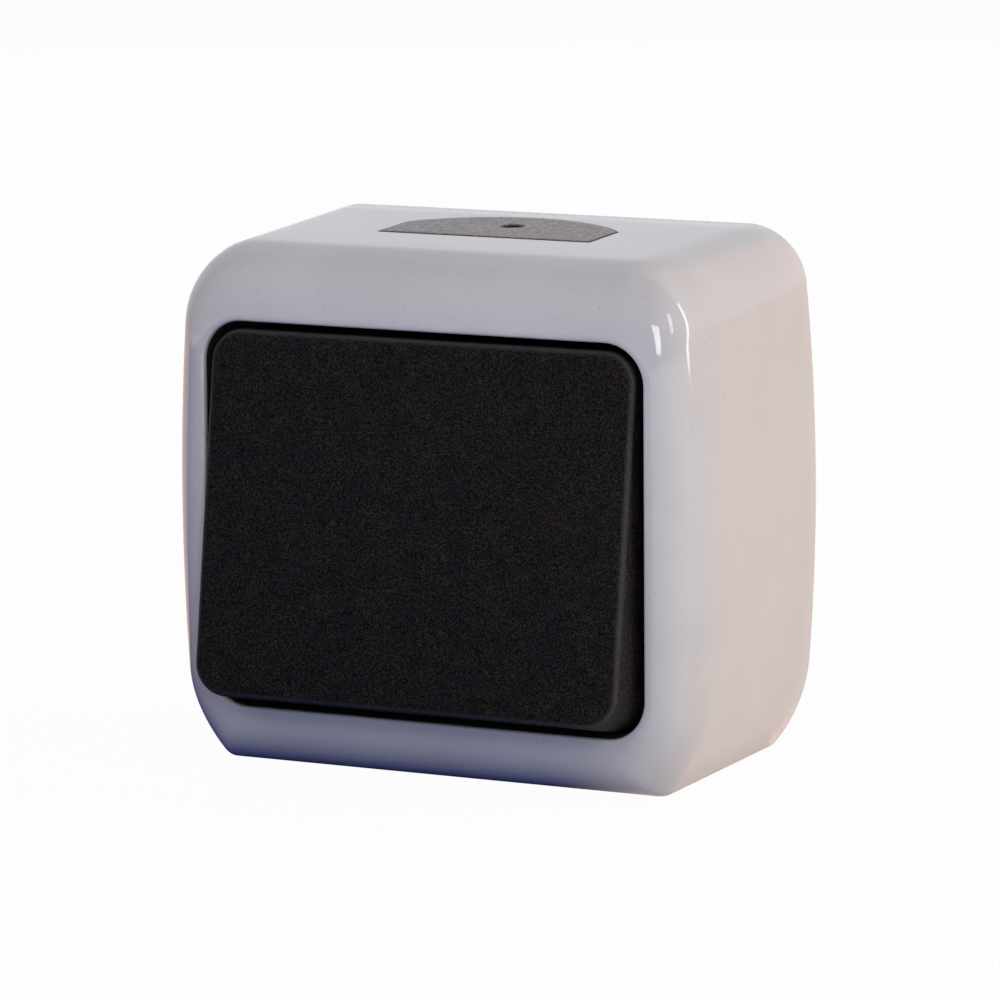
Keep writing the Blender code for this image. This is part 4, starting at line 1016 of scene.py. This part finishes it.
def ease_edges(node, width):
    """A copy of a node's solid with its flats made whole and its edges rounded off."""
    shape = bmesh.new()
    shape.from_mesh(frame["nodes"][node].data)
    bmesh.ops.remove_doubles(shape, verts=shape.verts[:], dist=1e-6)
    bmesh.ops.dissolve_limit(shape, angle_limit=math.radians(1.0), verts=shape.verts[:],
                             edges=shape.edges[:])
    sharp = [e for e in shape.edges if len(e.link_faces) == 2
             and e.calc_face_angle(0.0) > math.radians(SMOOTH_ANGLE)]
    bmesh.ops.bevel(shape, geom=sharp, offset=width, segments=2, profile=0.7, affect="EDGES",
                    clamp_overlap=True)
    mesh = bpy.data.meshes.new(node + "_eased")
    shape.to_mesh(mesh)
    shape.free()
    return dress(finish_mesh(node + "_eased", mesh, SMOOTH_ANGLE), node)


# Studio

# Rays that reach the eye, and those that a gloss mirrors
EYE = ("Is Camera Ray", "Is Transmission Ray")
GLOSS = ("Is Glossy Ray",)


def direction(azimuth, elevation):
    """Unit vector away from the switch; azimuth is from the front towards the right."""
    level = math.cos(elevation)
    return Vector((math.sin(azimuth) * level, -math.cos(azimuth) * level, math.sin(elevation)))


def seen_rays(tree, kinds):
    """1 for rays of the named kinds."""
    path = add(tree, "LightPath").outputs
    total = path[kinds[0]]
    for kind in kinds[1:]:
        total = calculate(tree, "MAXIMUM", total, path[kind])
    return total


def stage_plane(name, low, high, level, material):
    """A level rectangle of the stage between two X, Y corners."""
    mesh = bpy.data.meshes.new(name)
    mesh.from_pydata([(low[0], low[1], level), (high[0], low[1], level), (high[0], high[1], level),
                      (low[0], high[1], level)], [], [(0, 1, 2, 3)])
    mesh.materials.append(material)
    plane = new_object(name, mesh)
    return plane


def stage_floor():
    """A pale floor just under the switch. The camera and clear pieces see it white, with part
    of the shade that the switch throws on it. Reflections see it in two tones, warm beyond the
    line from the front's right edge that light_studio's surround has too."""
    made, tree, shader, place = new_material("pale_paper_floor", Base_Color=linear("dcdcde"),
                                             Roughness=0.9, Specular_IOR_Level=0.1)
    spot = add(tree, "SeparateXYZ", {"Vector": place}).outputs
    beyond = calculate(tree, "MULTIPLY_ADD", spot["X"], TONE_SLOPE, spot["Y"])
    line = TONE_START[0] * TONE_SLOPE + TONE_START[1]
    tone = ramp(tree, beyond, glow(*FLOOR_FRONT), glow(*FLOOR_SIDE), line - FLOOR_BLEND,
                line + FLOOR_BLEND)
    plain = mix(tree, seen_rays(tree, EYE), tone, WHITE)
    bright = add(tree, "Emission", {"Color": plain, "Strength": 1.0}).outputs[0]
    share = calculate(tree, "MULTIPLY", seen_rays(tree, EYE + GLOSS), FLOOR_WHITE)
    mixed = add(tree, "MixShader", {0: share, 1: shader.outputs[0], 2: bright})
    tree.links.new(mixed.outputs[0], tree.nodes["Material Output"].inputs["Surface"])
    stage_plane("studio_floor", (-FLOOR_HALF, -FLOOR_HALF), (FLOOR_HALF, FLOOR_HALF),
                BOTTOM - FLOOR_DROP, made)


def stage_card():
    """A dark blue card on the floor in front, for the light alone, which keeps the lower edge in
    a blue shade and thins out to the right."""
    made, tree, shader, place = new_material("dark_blue_card", Base_Color=linear("0a2d8c"),
                                             Roughness=0.9, Specular_IOR_Level=0.0)
    across = add(tree, "SeparateXYZ", {"Vector": place}).outputs["X"]
    fade = ramp(tree, across, 0.0, 1.0, *CARD_FADE)
    clear = add(tree, "BsdfTransparent").outputs[0]
    mixed = add(tree, "MixShader", {0: fade, 1: shader.outputs[0], 2: clear})
    tree.links.new(mixed.outputs[0], tree.nodes["Material Output"].inputs["Surface"])
    card = stage_plane("blue_card", CARD_CORNER, (CARD_FADE[1], 0.0), BOTTOM - CARD_DROP, made)
    card.visible_camera = False
    card.visible_shadow = False


def soft_box(name, azimuth, elevation, size, radiance, colour, mirrored):
    """A soft box that faces the switch. Its power follows from its brightness: pi times area
    times radiance. Only a mirrored one is seen in the gloss."""
    data = bpy.data.lights.new(name, "AREA")
    data.shape = "RECTANGLE"
    data.size, data.size_y = size
    data.energy = math.pi * size[0] * size[1] * radiance
    data.color = linear(colour)[:3]
    back = direction(math.radians(azimuth), math.radians(elevation))
    lamp = new_object(name, data)
    lamp.location = MIDDLE + LAMP_DISTANCE * back
    lamp.rotation_mode = "QUATERNION"
    lamp.rotation_quaternion = (-back).to_track_quat("-Z", "Y")
    lamp.visible_camera = False
    lamp.visible_glossy = mirrored


def light_studio():
    """A surround that is white for the eye. Reflections see it bright on the wall's side of the
    switch, warm to the right and cool to the left, and dim on the camera's side, with a clear
    line between the two at TONE_AZIMUTH. It is an even low light for everything else."""
    world = bpy.data.worlds.new("studio_surround")
    bpy.context.scene.world = world
    world.use_nodes = True
    tree = world.node_tree
    toward = add(tree, "SeparateXYZ", {"Vector": add(tree, "TexCoord").outputs["Generated"]})
    room, back = [ramp(tree, toward.outputs["X"], glow(*left), glow(*right), -SIDE_BLEND, SIDE_BLEND)
                  for left, right in ((ROOM_LEFT, ROOM_RIGHT), (BACK_LEFT, BACK_RIGHT))]
    line = -math.cos(TONE_AZIMUTH)
    beyond = ramp(tree, toward.outputs["Y"], 0.0, 1.0, line - TONE_BLEND, line + TONE_BLEND)
    around = mix(tree, beyond, room, back)
    lit = mix(tree, seen_rays(tree, GLOSS), glow(*AMBIENT), around)
    seen = mix(tree, seen_rays(tree, EYE), lit, WHITE)
    tree.links.new(seen, tree.nodes["Background"].inputs["Color"])
    for lamp in SOFT_BOXES:
        soft_box(*lamp)


def make_camera():
    """The camera looks along the line given by azimuth and elevation, rolled a little."""
    back = direction(VIEW_AZIMUTH, VIEW_ELEVATION)
    place = MIDDLE + back * VIEW_DISTANCE
    right = (-back).cross(Vector((0.0, 0.0, 1.0))).normalized()
    up = right.cross(-back)
    rolled_right = math.cos(VIEW_ROLL) * right + math.sin(VIEW_ROLL) * up
    rolled_up = math.cos(VIEW_ROLL) * up - math.sin(VIEW_ROLL) * right
    aim = MIDDLE + VIEW_AIM[0] * rolled_right + VIEW_AIM[1] * rolled_up
    look = (aim - place).normalized()
    side = look.cross(rolled_up).normalized()
    data = bpy.data.cameras.new("photo_view")
    data.sensor_width = VIEW_SENSOR
    data.lens = VIEW_LENS
    data.clip_start, data.clip_end = VIEW_CLIP
    camera = new_object("photo_view", data)
    basis = Matrix((side, side.cross(look), -look)).transposed().to_4x4()
    basis.translation = place
    camera.matrix_world = basis
    bpy.context.scene.camera = camera


make_camera()
make_cover()
make_membrane()
make_base()
make_rocker()
for screw in MECHANISM_SCREWS + COVER_SCREWS:
    make_screw(screw, SCREW_SHANK, SCREW_PITCH)
for terminal in TERMINALS:
    make_screw(terminal + "_clamp_screw", CLAMP_SHANK, CLAMP_PITCH)
make_contacts()
make_plunger()
make_spring()
for node, rounded_by in EDGE_ROUNDING.items():
    ease_edges(node, rounded_by)
stage_floor()
stage_card()
light_studio()
bpy.context.scene.view_settings.view_transform = "Standard"
